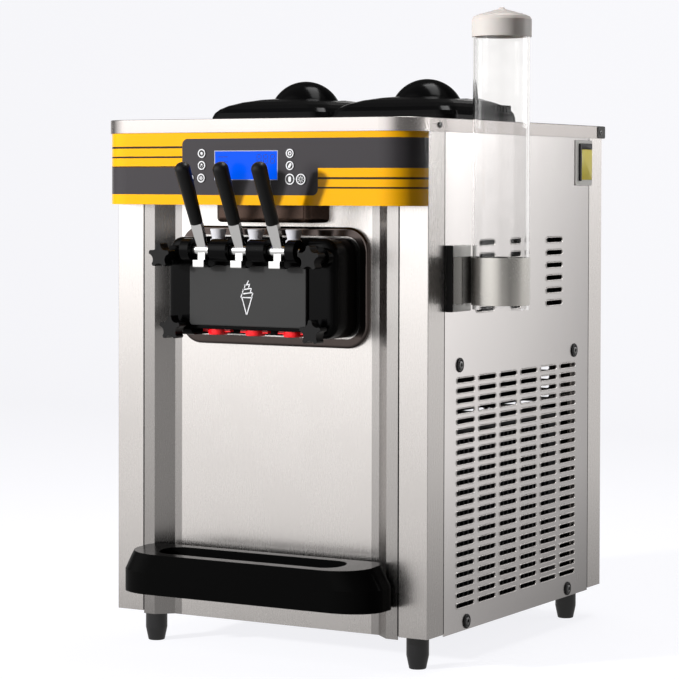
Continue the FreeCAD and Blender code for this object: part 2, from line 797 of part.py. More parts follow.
def grip(x):
    """Moulded hand grip, fuller towards its rounded end."""
    low, high = 9.0, 11.5
    body = Part.makeCone(low, high, lever_length - grip_start, Vector(0, 0, grip_start))
    body = body.makeFillet(9.5, edges_at(body, 2, lever_length))
    body = body.makeChamfer(1.0, edges_at(body, 2, grip_start))
    half_x, half_y = neck_width / 2, neck_thickness / 2
    socket = box((-half_x, half_x), (-half_y, half_y), (grip_start - 1, grip_start + 20))
    return at_pivot(body.cut(socket), x, lever_lean)


def plunger(x):
    """Draw valve: a round piston with a window for the lever's arm and a flared head."""
    high = door_mid + plunger_top
    low = high - plunger_length
    outline = [
        (0, low), (plunger_radius, low), (plunger_radius, high - 16), (plunger_radius - 2.5, high - 13.5),
        (plunger_radius + 0.3, high - 1), (plunger_radius - 0.7, high), (0, high),
    ]
    body = turned(outline, (x, plunger_y, 0), (0, 0, 1))
    reach = 3 + arm_slack
    window = box((x - 4.5, x + 4.5), (plunger_y - 20, plunger_y + 20), (pivot_z - reach, pivot_z + reach))
    return body.cut(window)


def nozzles():
    """Red outlet caps with two finger wings, one under each tap."""
    caps = []
    high = door_body_low
    for x in tap_places.values():
        cap = rod(14.0, (x, plunger_y, high - nozzle_height), (x, plunger_y, high))
        cap = cap.makeFillet(2.0, edges_at(cap, 2, high - nozzle_height))
        wings = box((x - 23, x + 23), (plunger_y - 4, plunger_y + 4), (high - 5, high))
        caps.append(joined(cap, wings).cut(rod(6.5, (x, plunger_y, high - 20), (x, plunger_y, high + 5))))
    return Part.makeCompound(caps)


# ---------------------------------------------------------------- mix and freezing side
def hopper_shell(side, grow, low, high):
    """A rounded tank outline, grown outwards by grow."""
    x = sides(hopper_inner_edge - grow, hopper_inner_edge + hopper_width + grow, side)
    y = (hopper_start_y - grow, hopper_start_y + hopper_length + grow)
    return rounded_block(x, y, (low, high), hopper_corner + grow, Vector(0, 0, 1))


def hopper(side):
    low = top - hopper_depth
    tank = hopper_shell(side, 0, low, top + sheet / 2)
    rim = hopper_shell(side, hopper_lip, top, lid_seat)
    spout = rod(9.0, (side * cylinder_x, spout_y, door_mid + cylinder_radius), (side * cylinder_x, spout_y, low + 1))
    tank = joined(tank, rim, spout).cut(hopper_shell(side, -sheet, low + sheet, lid_seat + 1))
    return tank.cut(rod(6.5, (side * cylinder_x, spout_y, low - 80), (side * cylinder_x, spout_y, low + 9)))


def freezing_cylinders():
    """Two steel barrels welded to one face plate behind the door."""
    half_x, half_z = door_half + 10, door_height / 2 + 8
    plate = framed(half_x, half_z, (door_back, door_back + 4), door_corner)
    barrels = []
    for side in (-1, 1):
        x = side * cylinder_x
        barrels.append(rod(cylinder_radius, (x, door_back + 4, door_mid), (x, cylinder_back, door_mid)))
    block = joined(plate, *barrels)
    for side in (-1, 1):
        x = side * cylinder_x
        inside = cylinder_radius - cylinder_wall
        block = block.cut(rod(inside, (x, door_back - 1, door_mid), (x, cylinder_back - 5, door_mid)))
        bearing = shaft_radius + moving_clearance
        block = block.cut(rod(bearing, (x, door_back, door_mid), (x, cylinder_back + 5, door_mid)))
        feed_top = door_mid + cylinder_radius
        block = block.cut(rod(6.5, (x, spout_y, door_mid + 20), (x, spout_y, feed_top + 1)))
    return block


def beater(side):
    """Stirrer: a shaft with arms set in a spiral, driven from the rear."""
    x = side * cylinder_x
    shaft = rod(shaft_radius, (x, door_back - 8.5, door_mid), (x, cylinder_back + 24, door_mid))
    first, last = door_back + 12.0, cylinder_back - 16.0
    arms = []
    reach = cylinder_radius - cylinder_wall - 1.5
    for number in range(beater_arms):
        y = first + (last - first) * number / (beater_arms - 1)
        arm = Part.makeBox(2 * reach, 6, 8, Vector(-reach, -3, -4))
        turn = Rotation(Vector(0, 1, 0), side * 30.0 * number)
        arm.Placement = FreeCAD.Placement(Vector(x, y, door_mid), turn)
        arms.append(arm)
    return joined(shaft, *arms)


def gearmotors():
    """A reducer and motor bolted to the end of each barrel."""
    drives = []
    for side in (-1, 1):
        x = side * cylinder_x
        front = cylinder_back
        gearbox = rounded_block(
            (x - 42, x + 42), (front, front + 60), (door_mid - 50, door_mid + 50), 10.0, Vector(0, 1, 0)
        )
        motor = rod(38.0, (x, front + 60, door_mid), (x, front + 165, door_mid))
        bore = rod(shaft_radius + running_clearance, (x, front - 1, door_mid), (x, front + 25, door_mid))
        drives.append(joined(gearbox, motor).cut(bore))
    return Part.makeCompound(drives)


# ---------------------------------------------------------------- refrigeration
floor_z = bottom + base_wall
condenser_x = (half_width - 14.0 - condenser_depth, half_width - 14.0)
condenser_y = (condenser_start, condenser_start + condenser_length)
fan_y = sum(condenser_y) / 2
fan_z = floor_z + condenser_height / 2


def compressor():
    """Hermetic compressor: a domed can on four rubber-mounted ears."""
    x, y, radius = -half_width + compressor_inset, cabinet_depth - compressor_from_rear, compressor_radius
    outline = [
        (0, 12), (radius - 6, 12), (radius, 20), (radius, 150), (radius - 12, 176), (radius - 40, 192), (0, 196)
    ]
    can = turned(outline, (x, y, floor_z), (0, 0, 1))
    ears = []
    for dx in (-70, 70):
        for dy in (-70, 70):
            ears.append(rod(11.0, (x + dx, y + dy, floor_z), (x + dx, y + dy, floor_z + 12)))
    base = rounded_block((x - 84, x + 84), (y - 84, y + 84), (floor_z + 9, floor_z + 15), 14.0, Vector(0, 0, 1))
    suction = rod(6.0, (x + 40, y, floor_z + 150), (x + 40, y, floor_z + 215))
    return joined(can, base, suction, *ears)


def condenser():
    """Finned block behind the right-hand slots."""
    z = (floor_z, floor_z + condenser_height)
    block = box(condenser_x, condenser_y, z)
    pitch = 14.0
    count = int((condenser_y[1] - condenser_y[0] - 20) / pitch)
    gaps = []
    for number in range(count):
        y = condenser_y[0] + 12 + number * pitch
        gaps.append(box((condenser_x[0] + 16, condenser_x[1] + 1), (y, y + 9), (z[0] + 12, z[1] - 12)))
    return block.cut(gaps)


def fan_housing():
    """Fan shroud against the condenser, with three arms that carry the motor."""
    face = condenser_x[0]
    plate_y = (condenser_y[0] + 10, condenser_y[1] - 10)
    plate = box((face - 30, face - 27), plate_y, (floor_z, floor_z + condenser_height - 10))
    hole = rod(fan_hole, (face - 40, fan_y, fan_z), (face + 1, fan_y, fan_z))
    collar = pipe(fan_hole + 2, fan_hole, (face - 30, fan_y, fan_z), (face, fan_y, fan_z))
    motor = rod(30.0, (face - 75, fan_y, fan_z), (face - 27, fan_y, fan_z))
    arms = []
    for number in range(3):
        arm = Part.makeBox(3, 10, fan_hole + 1, Vector(0, -5, 0))
        arm.Placement = FreeCAD.Placement(
            Vector(face - 30, fan_y, fan_z), Rotation(Vector(1, 0, 0), 120.0 * number)
        )
        arms.append(arm)
    housing = joined(plate.cut(hole), collar, motor, *arms)
    return housing.cut(rod(4.0 + running_clearance, (face - 60, fan_y, fan_z), (face, fan_y, fan_z)))


def fan_blades():
    face = condenser_x[0]
    hub = rod(26.0, (face - 24, fan_y, fan_z), (face - 8, fan_y, fan_z))
    shaft = rod(4.0, (face - 58, fan_y, fan_z), (face - 20, fan_y, fan_z))
    blades = []
    for number in range(5):
        blade = Part.makeBox(2.0, 52, 88, Vector(-1, -26, 20))
        blade = blade.makeFillet(18.0, edges_along(blade, Vector(1, 0, 0)))
        pitch = FreeCAD.Placement(Vector(0, 0, 0), Rotation(Vector(0, 0, 1), 14.0))
        spin = FreeCAD.Placement(Vector(face - 16, fan_y, fan_z), Rotation(Vector(1, 0, 0), 72.0 * number))
        blade.Placement = spin.multiply(pitch)
        blades.append(blade)
    return joined(hub, shaft, *blades)


# ---------------------------------------------------------------- lids, tray and cone dispenser
def rounded_wire(x, y, radius, z):
    """A rounded rectangle lying level at height z."""
    bend = radius * (1 - math.sqrt(0.5))
    corners = [(x[1], y[0], 1, -1), (x[1], y[1], 1, 1), (x[0], y[1], -1, 1), (x[0], y[0], -1, -1)]
    points = []
    for corner_x, corner_y, out_x, out_y in corners:
        along_x = Vector(corner_x - out_x * radius, corner_y, z)
        along_y = Vector(corner_x, corner_y - out_y * radius, z)
        middle = Vector(corner_x - out_x * bend, corner_y - out_y * bend, z)
        points.append((along_x, middle, along_y) if out_x != out_y else (along_y, middle, along_x))
    edges = []
    for number, (start, middle, end) in enumerate(points):
        edges.append(Part.Arc(start, middle, end).toShape())
        edges.append(Part.LineSegment(end, points[(number + 1) % 4][0]).toShape())
    return Part.Wire(edges)


def pillow(x, y, levels, inset, low, drop):
    """A crowned block: rounded outlines that draw in as they rise."""
    wires = [rounded_wire((x[0] + inset, x[1] - inset), (y[0] + inset, y[1] - inset), lid_corner - inset, low)]
    for draw_in, height in levels:
        away = draw_in + inset
        radius = lid_corner - inset + 0.1 * draw_in
        wires.append(
            rounded_wire((x[0] + away, x[1] - away), (y[0] + away, y[1] - away), radius, top + height - drop)
        )
    return Part.makeLoft(wires, True, True)


def hopper_lid(side):
    """Crowned lid with a flat circle in its middle, a dome to hold it by and grip teeth at one edge."""
    x = sides(hopper_inner_edge - lid_overlap, hopper_inner_edge + hopper_width + lid_overlap, side)
    y = (hopper_start_y - lid_overlap, hopper_start_y + hopper_length + lid_overlap)
    centre_x, centre_y = sum(x) / 2, sum(y) / 2
    shell = pillow(x, y, lid_levels, 0.0, lid_seat, 0.0)
    flat_radius, flat_rise = lid_flat
    flat_z = top + flat_rise
    shell = shell.cut(rod(flat_radius, (centre_x, centre_y, flat_z), (centre_x, centre_y, top + 60)))
    outer = x[1] if side > 0 else x[0]
    teeth = []
    for number in range(6):
        tooth_y = centre_y + 20 + number * 12.0
        tooth_x = (min(outer - side * 20, outer - side * 2), max(outer - side * 20, outer - side * 2))
        tooth_z = (lid_seat + 2, top + 27.0)
        teeth.append(rounded_block(tooth_x, (tooth_y, tooth_y + 5), tooth_z, 2.2, Vector(1, 0, 0)))
    dome_top = top + dome_rise
    dome = Part.makeSphere(dome_radius, Vector(centre_x, centre_y, dome_top - dome_radius))
    dome = dome.common(rod(dome_radius + 1, (centre_x, centre_y, flat_z - 1), (centre_x, centre_y, dome_top + 1)))
    shell = joined(shell, dome, *teeth)
    inside = [level for level in lid_levels if level[1] <= flat_rise]
    return shell.cut(pillow(x, y, inside, lid_wall, lid_seat - 1, lid_wall))


def tray_outline(half, flat_half, front, back, low):
    """Plan of the tray: straight front, elliptical ends and rounded rear corners."""
    tip = front + 46.0
    corner = 20.0
    edges = []
    for side in (1, -1):
        ellipse = Part.Ellipse(Vector(side * flat_half, tip, low), half - flat_half, tip - front)
        quarter = (-math.pi / 2, 0) if side > 0 else (math.pi, 1.5 * math.pi)
        edges.append(Part.ArcOfEllipse(ellipse, *quarter).toShape())
        end = Vector(side * half, back - corner, low)
        bend = corner * math.sqrt(0.5)
        edges.append(Part.LineSegment(Vector(side * half, tip, low), end).toShape())
        middle = Vector(side * (half - corner + bend), back - corner + bend, low)
        edges.append(Part.Arc(end, middle, Vector(side * (half - corner), back, low)).toShape())
    edges.append(Part.LineSegment(Vector(-flat_half, front, low), Vector(flat_half, front, low)).toShape())
    rear = half - corner
    edges.append(Part.LineSegment(Vector(-rear, back, low), Vector(rear, back, low)).toShape())
    return Part.Wire(Part.__sortEdges__(edges))


def drip_tray():
    """Thick moulded tray: straight front, ends that draw in towards the top, round-ended basin, two peg holes."""
    high = tray_bottom + tray_height
    wires = []
    for height, drawn in tray_end_levels:
        half, flat_half = tray_half_width - drawn, tray_flat_half - drawn
        wires.append(tray_outline(half, flat_half, tray_front, tray_back, tray_bottom + height))
    solid = Part.makeLoft(wires, True, True)
    wide = tray_half_width + 10
    slope = [(tray_front - 1, high - tray_slope), (tray_back + 1, high), (tray_back + 1, high + 9), (tray_front - 1, high + 9)]
    corners = [Vector(-wide, y, z) for y, z in slope]
    solid = solid.cut(Part.Face(Part.makePolygon(corners + corners[:1])).extrude(Vector(2 * wide, 0, 0)))
    radius = (basin_back - basin_front) / 2 - 0.5
    basin = rounded_block(
        (-basin_half_width, basin_half_width),
        (basin_front, basin_back),
        (high - basin_depth, high + 20),
        radius,
        Vector(0, 0, 1),
    )
    solid = solid.cut(basin)
    for side in (-1, 1):
        x, z = side * tray_peg_x, tray_peg_z
        hole = rod(tray_peg_radius + moving_clearance, (x, -tray_peg_length - 1, z), (x, 1, z))
        solid = solid.cut(hole)
    return solid


def dispenser_mount():
    x = (half_width, half_width + cone_block_depth)
    y = (cone_tube_y - cone_block_width / 2, cone_tube_y + cone_block_width / 2)
    z = (bottom + 450.0, bottom + 450.0 + cone_block_height)
    block = box(x, y, z)
    return block.makeFillet(3.0, edges_at(block, 0, x[1]))


def strap_outline(radius, half, z):
    """A circle about the tube's axis, drawn out to a narrow end on the block, as one closed wire."""
    start = half_width + cone_block_depth
    away = tube_x - start
    reach = math.hypot(away, half)
    turn = math.acos(radius / reach) - math.atan2(half, away)
    touch = (tube_x - radius * math.cos(turn), radius * math.sin(turn))
    near, far = Vector(start, cone_tube_y - half, z), Vector(start, cone_tube_y + half, z)
    near_touch = Vector(touch[0], cone_tube_y - touch[1], z)
    far_touch = Vector(touch[0], cone_tube_y + touch[1], z)
    return Part.Wire(
        [
            Part.LineSegment(near, near_touch).toShape(),
            Part.Arc(near_touch, Vector(tube_x + radius, cone_tube_y, z), far_touch).toShape(),
            Part.LineSegment(far_touch, far).toShape(),
            Part.LineSegment(far, near).toShape(),
        ]
    )


def dispenser_band():
    """One strap folded round the tube and back to a foot on the block."""
    low = bottom + band_low
    half = cone_block_width / 2 - 1
    up = Vector(0, 0, band_height)
    outside = Part.Face(strap_outline(cone_tube_radius + band_wall, half, low)).extrude(up)
    inside = Part.Face(strap_outline(cone_tube_radius, half - band_wall, low)).extrude(up)
    start = half_width + cone_block_depth
    foot_plate = box((start, start + band_wall), (cone_tube_y - half + 0.5, cone_tube_y + half - 0.5), (low, low + band_height))
    return joined(outside.cut(inside), foot_plate)


def cone_tube():
    start, end = (tube_x, cone_tube_y, tube_low), (tube_x, cone_tube_y, tube_top)
    tube = pipe(cone_tube_radius, cone_tube_radius - cone_tube_wall, start, end)
    stops = []
    for number in range(3):
        stop = Part.makeBox(5, 8, 2, Vector(cone_tube_radius - cone_tube_wall - 4, -4, 0))
        stop.Placement = FreeCAD.Placement(Vector(*start), Rotation(Vector(0, 0, 1), 120.0 * number))
        stops.append(stop)
    return joined(tube, *stops)


def cone_cap():
    """Loose cap with a short skirt over the tube and a low pointed top."""
    radius = cone_tube_radius + 2.0
    inside = cone_tube_radius + moving_clearance
    floor = -cap_skirt
    rise = cap_height - cap_skirt
    points = [
        (inside, floor), (radius, floor), (radius, 4.0), (radius - 2.5, 8.0), (radius - 8, 10.5),
        (5.0, rise - 2.5), (3.0, rise), (0, rise), (0, 0), (inside, 0),
    ]
    return turned(points, (tube_x, cone_tube_y, tube_top), (0, 0, 1))


# ---------------------------------------------------------------- every piece by name
pieces = {
    "base_frame": base_frame(),
    "corner_posts": corner_posts(),
    "side_panel_left": side_panel(-1),
    "side_panel_right": side_panel(1),
    "rear_panel": rear_panel(),
    "front_panel": front_panel(),
    "top_cover": top_cover(),
    "cabinet_screws": cabinet_screws(),
    "power_inlet": power_inlet(),
    "control_fascia": control_fascia(),
    "lcd_display": lcd_display(),
    "light_cowl": light_cowl(),
    "door_bezel": door_bezel(),
    "dispensing_door": dispensing_door(),
    "door_front_plate": door_front_plate(),
    "door_seals": door_seals(),
    "door_studs": door_studs(),
    "pivot_shaft": pivot_shaft(),
    "nozzles": nozzles(),
    "hopper_left": hopper(-1),
    "hopper_right": hopper(1),
    "freezing_cylinders": freezing_cylinders(),
    "beater_left": beater(-1),
    "beater_right": beater(1),
    "motor_units": Part.makeCompound([gearmotors(), compressor()]),
    "condenser": condenser(),
    "fan_housing": fan_housing(),
    "fan_blades": fan_blades(),
    "hopper_lid_left": hopper_lid(-1),
    "hopper_lid_right": hopper_lid(1),
    "drip_tray": drip_tray(),
    "dispenser_mount": dispenser_mount(),
    "dispenser_band": dispenser_band(),
    "cone_tube": cone_tube(),
    "cone_cap": cone_cap(),
}
for name in button_places:
    pieces[name + "_button"] = button(name)
for name, stud in zip(("upper_left", "lower_left", "upper_right", "lower_right"), stud_places()):
    pieces["star_knob_" + name] = star_knob(*stud)
for name, x in tap_places.items():
    pieces["lever_" + name] = lever(x)
    pieces["grip_" + name] = grip(x)
    pieces["plunger_" + name] = plunger(x)
for name in foot_places:
    pieces["foot_" + name] = foot(name)

# ---------------------------------------------------------------- origin at the bottom centre, then export
whole = Part.makeCompound(list(pieces.values())).optimalBoundingBox(False, False)
to_origin = Vector(-(whole.XMin + whole.XMax) / 2, -(whole.YMin + whole.YMax) / 2, -whole.ZMin)
os.makedirs("parts", exist_ok=True)
for name, piece in pieces.items():
    placed = piece.copy()
    placed.translate(to_origin)
    if not placed.isValid():
        print("not valid:", name)
    placed.exportStep("parts/" + name + ".step")
print(len(pieces), "pieces, origin shift", [round(value, 3) for value in to_origin])
print("overall", round(whole.XLength, 1), round(whole.YLength, 1), round(whole.ZLength, 1))
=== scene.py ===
# %% [markdown]
# # A countertop soft-serve machine
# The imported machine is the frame: every piece below is placed from its boxes, so nothing is fitted by eye
# afterwards. All lengths are metres.

# %% Load the frame
import json
import math

import bmesh
import bpy
from mathutils import Matrix, Vector


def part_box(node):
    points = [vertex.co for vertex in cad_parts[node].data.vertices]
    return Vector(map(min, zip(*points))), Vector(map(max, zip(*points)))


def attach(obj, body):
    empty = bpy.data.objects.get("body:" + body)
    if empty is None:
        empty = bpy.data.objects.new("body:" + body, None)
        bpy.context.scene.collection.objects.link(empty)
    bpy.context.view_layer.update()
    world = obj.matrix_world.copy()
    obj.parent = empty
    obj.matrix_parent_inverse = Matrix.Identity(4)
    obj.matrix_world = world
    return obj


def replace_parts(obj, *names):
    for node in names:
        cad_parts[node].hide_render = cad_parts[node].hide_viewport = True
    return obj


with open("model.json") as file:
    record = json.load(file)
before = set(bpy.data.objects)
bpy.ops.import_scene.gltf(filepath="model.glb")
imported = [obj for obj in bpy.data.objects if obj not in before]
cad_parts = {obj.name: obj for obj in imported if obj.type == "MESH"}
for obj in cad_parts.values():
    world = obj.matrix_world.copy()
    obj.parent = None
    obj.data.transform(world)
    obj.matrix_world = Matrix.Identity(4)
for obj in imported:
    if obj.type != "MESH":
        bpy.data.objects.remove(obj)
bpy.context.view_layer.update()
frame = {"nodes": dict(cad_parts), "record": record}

# %% [markdown]
# The cabinet's own planes are read once from the posts and the cover. Later cells measure from these names.

# %% Planes of the cabinet
MM = 0.001
posts_low, posts_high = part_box("corner_posts")
cover_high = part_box("top_cover")[1]
centre_x = (posts_low.x + posts_high.x) / 2
half_width = (posts_high.x - posts_low.x) / 2
front_y = posts_low.y
rear_y = posts_high.y
cabinet_low = posts_low.z
print("centre line", round(centre_x, 4), "front", round(front_y, 4), "cover top", round(cover_high.z, 4))

# %% [markdown]
# The camera stands to the right of the taps at the height of the control head, with a long lens and a little
# shift instead of a tilt, so the cabinet's uprights stay upright.

# %% Camera
camera_data = bpy.data.cameras.new("camera")
camera = bpy.data.objects.new("camera", camera_data)
bpy.context.scene.collection.objects.link(camera)
camera.location = (centre_x + 1.8852, front_y - 3.0102, cabinet_low + 0.6238)
yaw, pitch, roll = 0.5242, 0.0231, 0.0026
forward = Vector((-math.sin(yaw) * math.cos(pitch), math.cos(yaw) * math.cos(pitch), -math.sin(pitch)))
turn = forward.to_track_quat("-Z", "Y").to_matrix().to_4x4() @ Matrix.Rotation(roll, 4, "Z")
camera.rotation_euler = turn.to_euler()
camera_data.sensor_width = 36.0
camera_data.lens = 132.13
camera_data.shift_x = -0.0239
camera_data.shift_y = -0.1397
camera_data.clip_end = 50.0
bpy.context.scene.camera = camera
print("camera", [round(v, 3) for v in camera.location])

# %% [markdown]
# ## Building shader nodes
# A finish is a small network, so three helpers keep the wiring short: one adds a node, one does arithmetic and one
# mixes two colours. Colours are written here as a screen shows them, so `paint` turns them into the linear values
# that Blender mixes.

# %% Node helpers
def paint(red, green, blue):
    """A colour as seen on a screen, turned into linear light."""
    return tuple(c / 12.92 if c <= 0.04045 else ((c + 0.055) / 1.055) ** 2.4 for c in (red, green, blue)) + (1.0,)


def add(tree, kind, **settings):
    node = tree.nodes.new(kind)
    for setting, value in settings.items():
        setattr(node, setting, value)
    return node


def feed(tree, value, socket):
    """Puts a number, a colour or another node's output into a socket."""
    if isinstance(value, bpy.types.NodeSocket):
        tree.links.new(value, socket)
    else:
        socket.default_value = value


def maths(tree, operation, *values, clamp=False):
    node = add(tree, "ShaderNodeMath", operation=operation, use_clamp=clamp)
    for value, socket in zip(values, node.inputs):
        feed(tree, value, socket)
    return node.outputs[0]


def blend_colour(tree, factor, first, second):
    node = add(tree, "ShaderNodeMix", data_type="RGBA")
    feed(tree, factor, node.inputs[0])
    feed(tree, first, node.inputs[6])
    feed(tree, second, node.inputs[7])
    return node.outputs[2]


def remap(tree, value, from_low, from_high, to_low, to_high):
    node = add(tree, "ShaderNodeMapRange")
    for item, socket in zip((value, from_low, from_high, to_low, to_high), node.inputs):
        feed(tree, item, socket)
    return node.outputs[0]


def new_group(name, inputs, outputs):
    """An empty node group with named sockets: inputs are (name, kind, default), outputs are (name, kind)."""
    group = bpy.data.node_groups.new(name, "ShaderNodeTree")
    for label, kind, default in inputs:
        socket = group.interface.new_socket(name=label, in_out="INPUT", socket_type="NodeSocket" + kind)
        if default is not None:
            socket.default_value = default
    for label, kind in outputs:
        group.interface.new_socket(name=label, in_out="OUTPUT", socket_type="NodeSocket" + kind)
    return group, add(group, "NodeGroupInput"), add(group, "NodeGroupOutput")


# %% [markdown]
# ## Effects that several finishes share
# Brushed steel and moulded plastic both have a fine relief: long hairlines on one, tiny even pimples on the other.
# Both are noise, stretched by a different amount along each axis, so one group serves both. It also gives a slow
# drift of tone, because no sheet or moulding is one even colour.

# %% Group: surface grain
def make_grain():
    group, given, result = new_group(
        "surface_grain",
        [("Point", "Vector", None), ("Stretch", "Vector", (900, 900, 900)), ("Drift", "Float", 6.0)],
        [("Height", "Float"), ("Tone", "Float")],
    )
    stretched = add(group, "ShaderNodeVectorMath", operation="MULTIPLY")
    feed(group, given.outputs["Point"], stretched.inputs[0])
    feed(group, given.outputs["Stretch"], stretched.inputs[1])
    fine = add(group, "ShaderNodeTexNoise", noise_dimensions="3D")
    fine.inputs["Scale"].default_value = 1.0
    fine.inputs["Detail"].default_value = 3.0
    feed(group, stretched.outputs[0], fine.inputs["Vector"])
    slow = add(group, "ShaderNodeTexNoise", noise_dimensions="3D")
    slow.inputs["Detail"].default_value = 2.0
    feed(group, given.outputs["Point"], slow.inputs["Vector"])
    feed(group, given.outputs["Drift"], slow.inputs["Scale"])
    feed(group, fine.outputs["Fac"], result.inputs["Height"])
    feed(group, slow.outputs["Fac"], result.inputs["Tone"])
    return group


grain_group = make_grain()
print(grain_group.name, [s.name for s in grain_group.interface.items_tree])

# %% [markdown]
# Edges are rounded and rubbed bare, and a lighter colour is painted on them: partly wear, partly a painted highlight
# where they catch the light. Comparing the true normal with one smoothed over a small radius finds exactly those
# places, whatever the mesh. The group also hands on the smoothed normal.

# %% Group: edge wear and painted highlight
def make_edge_wear_and_highlight():
    group, given, result = new_group(
        "edge_wear_and_painted_highlight",
        [("Radius", "Float", 0.0008), ("Strength", "Float", 1.0)],
        [("Mask", "Float"), ("Normal", "Vector")],
    )
    smooth = add(group, "ShaderNodeBevel", samples=4)
    feed(group, given.outputs["Radius"], smooth.inputs["Radius"])
    true = add(group, "ShaderNodeNewGeometry")
    agree = add(group, "ShaderNodeVectorMath", operation="DOT_PRODUCT")
    feed(group, smooth.outputs["Normal"], agree.inputs[0])
    feed(group, true.outputs["Normal"], agree.inputs[1])
    bend = maths(group, "SUBTRACT", 1.0, agree.outputs["Value"])
    mask = maths(group, "MULTIPLY", bend, 6.0, clamp=True)
    feed(group, maths(group, "MULTIPLY", mask, given.outputs["Strength"], clamp=True), result.inputs["Mask"])
    feed(group, smooth.outputs["Normal"], result.inputs["Normal"])
    return group


edge_wear_highlight_group = make_edge_wear_and_highlight()
print(edge_wear_highlight_group.name, "ready")

# %% [markdown]
# Fingers leave dull patches on gloss, and dust settles on what faces up. One group gives both masks, so that a
# lid and a tray can take different amounts of each.

# %% Group: handling marks and dust
def make_handling():
    group, given, result = new_group(
        "handling_and_dust",
        [("Point", "Vector", None), ("Patch Scale", "Float", 14.0)],
        [("Smudge", "Float"), ("Dust", "Float")],
    )
    cloud = add(group, "ShaderNodeTexNoise")
    cloud.inputs["Detail"].default_value = 5.0
    cloud.inputs["Roughness"].default_value = 0.62
    feed(group, given.outputs["Point"], cloud.inputs["Vector"])
    feed(group, given.outputs["Patch Scale"], cloud.inputs["Scale"])
    feed(group, remap(group, cloud.outputs["Fac"], 0.38, 0.68, 0.0, 1.0), result.inputs["Smudge"])
    specks = add(group, "ShaderNodeTexNoise")
    specks.inputs["Scale"].default_value = 900.0
    feed(group, given.outputs["Point"], specks.inputs["Vector"])
    facing = add(group, "ShaderNodeNewGeometry")
    parts = add(group, "ShaderNodeSeparateXYZ")
    feed(group, facing.outputs["Normal"], parts.inputs[0])
    up = remap(group, parts.outputs["Z"], 0.3, 1.0, 0.0, 1.0)
    speck = remap(group, specks.outputs["Fac"], 0.52, 0.7, 0.15, 1.0)
    feed(group, maths(group, "MULTIPLY", up, speck), result.inputs["Dust"])
    return group


handling_group = make_handling()
print(handling_group.name, "ready")

# %% [markdown]
# Printed panels need shapes, not noise. This group says whether a point lies inside a rounded rectangle, with an
# edge as crisp as a screen print. Stripes, bands and frames are all made of it.

# %% Group: printed rounded rectangle
def make_print_box():
    group, given, result = new_group(
        "printed_box",
        [
            ("Across", "Float", 0.0), ("Up", "Float", 0.0), ("Middle Across", "Float", 0.0),
            ("Middle Up", "Float", 0.0), ("Half Width", "Float", 0.01), ("Half Height", "Float", 0.01),
            ("Corner", "Float", 0.0),
        ],
        [("Mask", "Float")],
    )
    corner = given.outputs["Corner"]

    def beyond(place, middle, half):
        offset = maths(group, "ABSOLUTE", maths(group, "SUBTRACT", given.outputs[place], given.outputs[middle]))
        outside = maths(group, "SUBTRACT", offset, maths(group, "SUBTRACT", given.outputs[half], corner))
        return maths(group, "MAXIMUM", outside, 0.0)

    wide = beyond("Across", "Middle Across", "Half Width")
    high = beyond("Up", "Middle Up", "Half Height")
    squares = maths(group, "ADD", maths(group, "MULTIPLY", wide, wide), maths(group, "MULTIPLY", high, high))
    distance = maths(group, "SUBTRACT", maths(group, "SQRT", squares), corner)
    feed(group, remap(group, distance, -0.00015, 0.00015, 1.0, 0.0), result.inputs["Mask"])
    return group


print_group = make_print_box()
print(print_group.name, "ready")

# %% [markdown]
# Painted shade on brushed steel: a sheet is painted darker towards the end that faces away from the windows, and a
# strip in the shade of its neighbour is painted darker than the sheet beside it. This group blends a colour towards
# black between two places along one axis.

# %% Group: painted shade fade
def make_painted_shade_fade():
    group, given, result = new_group(
        "painted_shade_fade",
        [
            ("Place", "Float", 0.0), ("Start", "Float", 0.0), ("End", "Float", 1.0),
            ("First Level", "Float", 1.0), ("Last Level", "Float", 1.0), ("Colour", "Color", (1, 1, 1, 1)),
        ],
        [("Colour", "Color")],
    )
    span = [given.outputs[label] for label in ("Place", "Start", "End", "First Level", "Last Level")]
    level = remap(group, *span)
    feed(group, blend_colour(group, level, (0, 0, 0, 1), given.outputs["Colour"]), result.inputs["Colour"])
    return group


painted_shade_group = make_painted_shade_fade()
print(painted_shade_group.name, "ready")
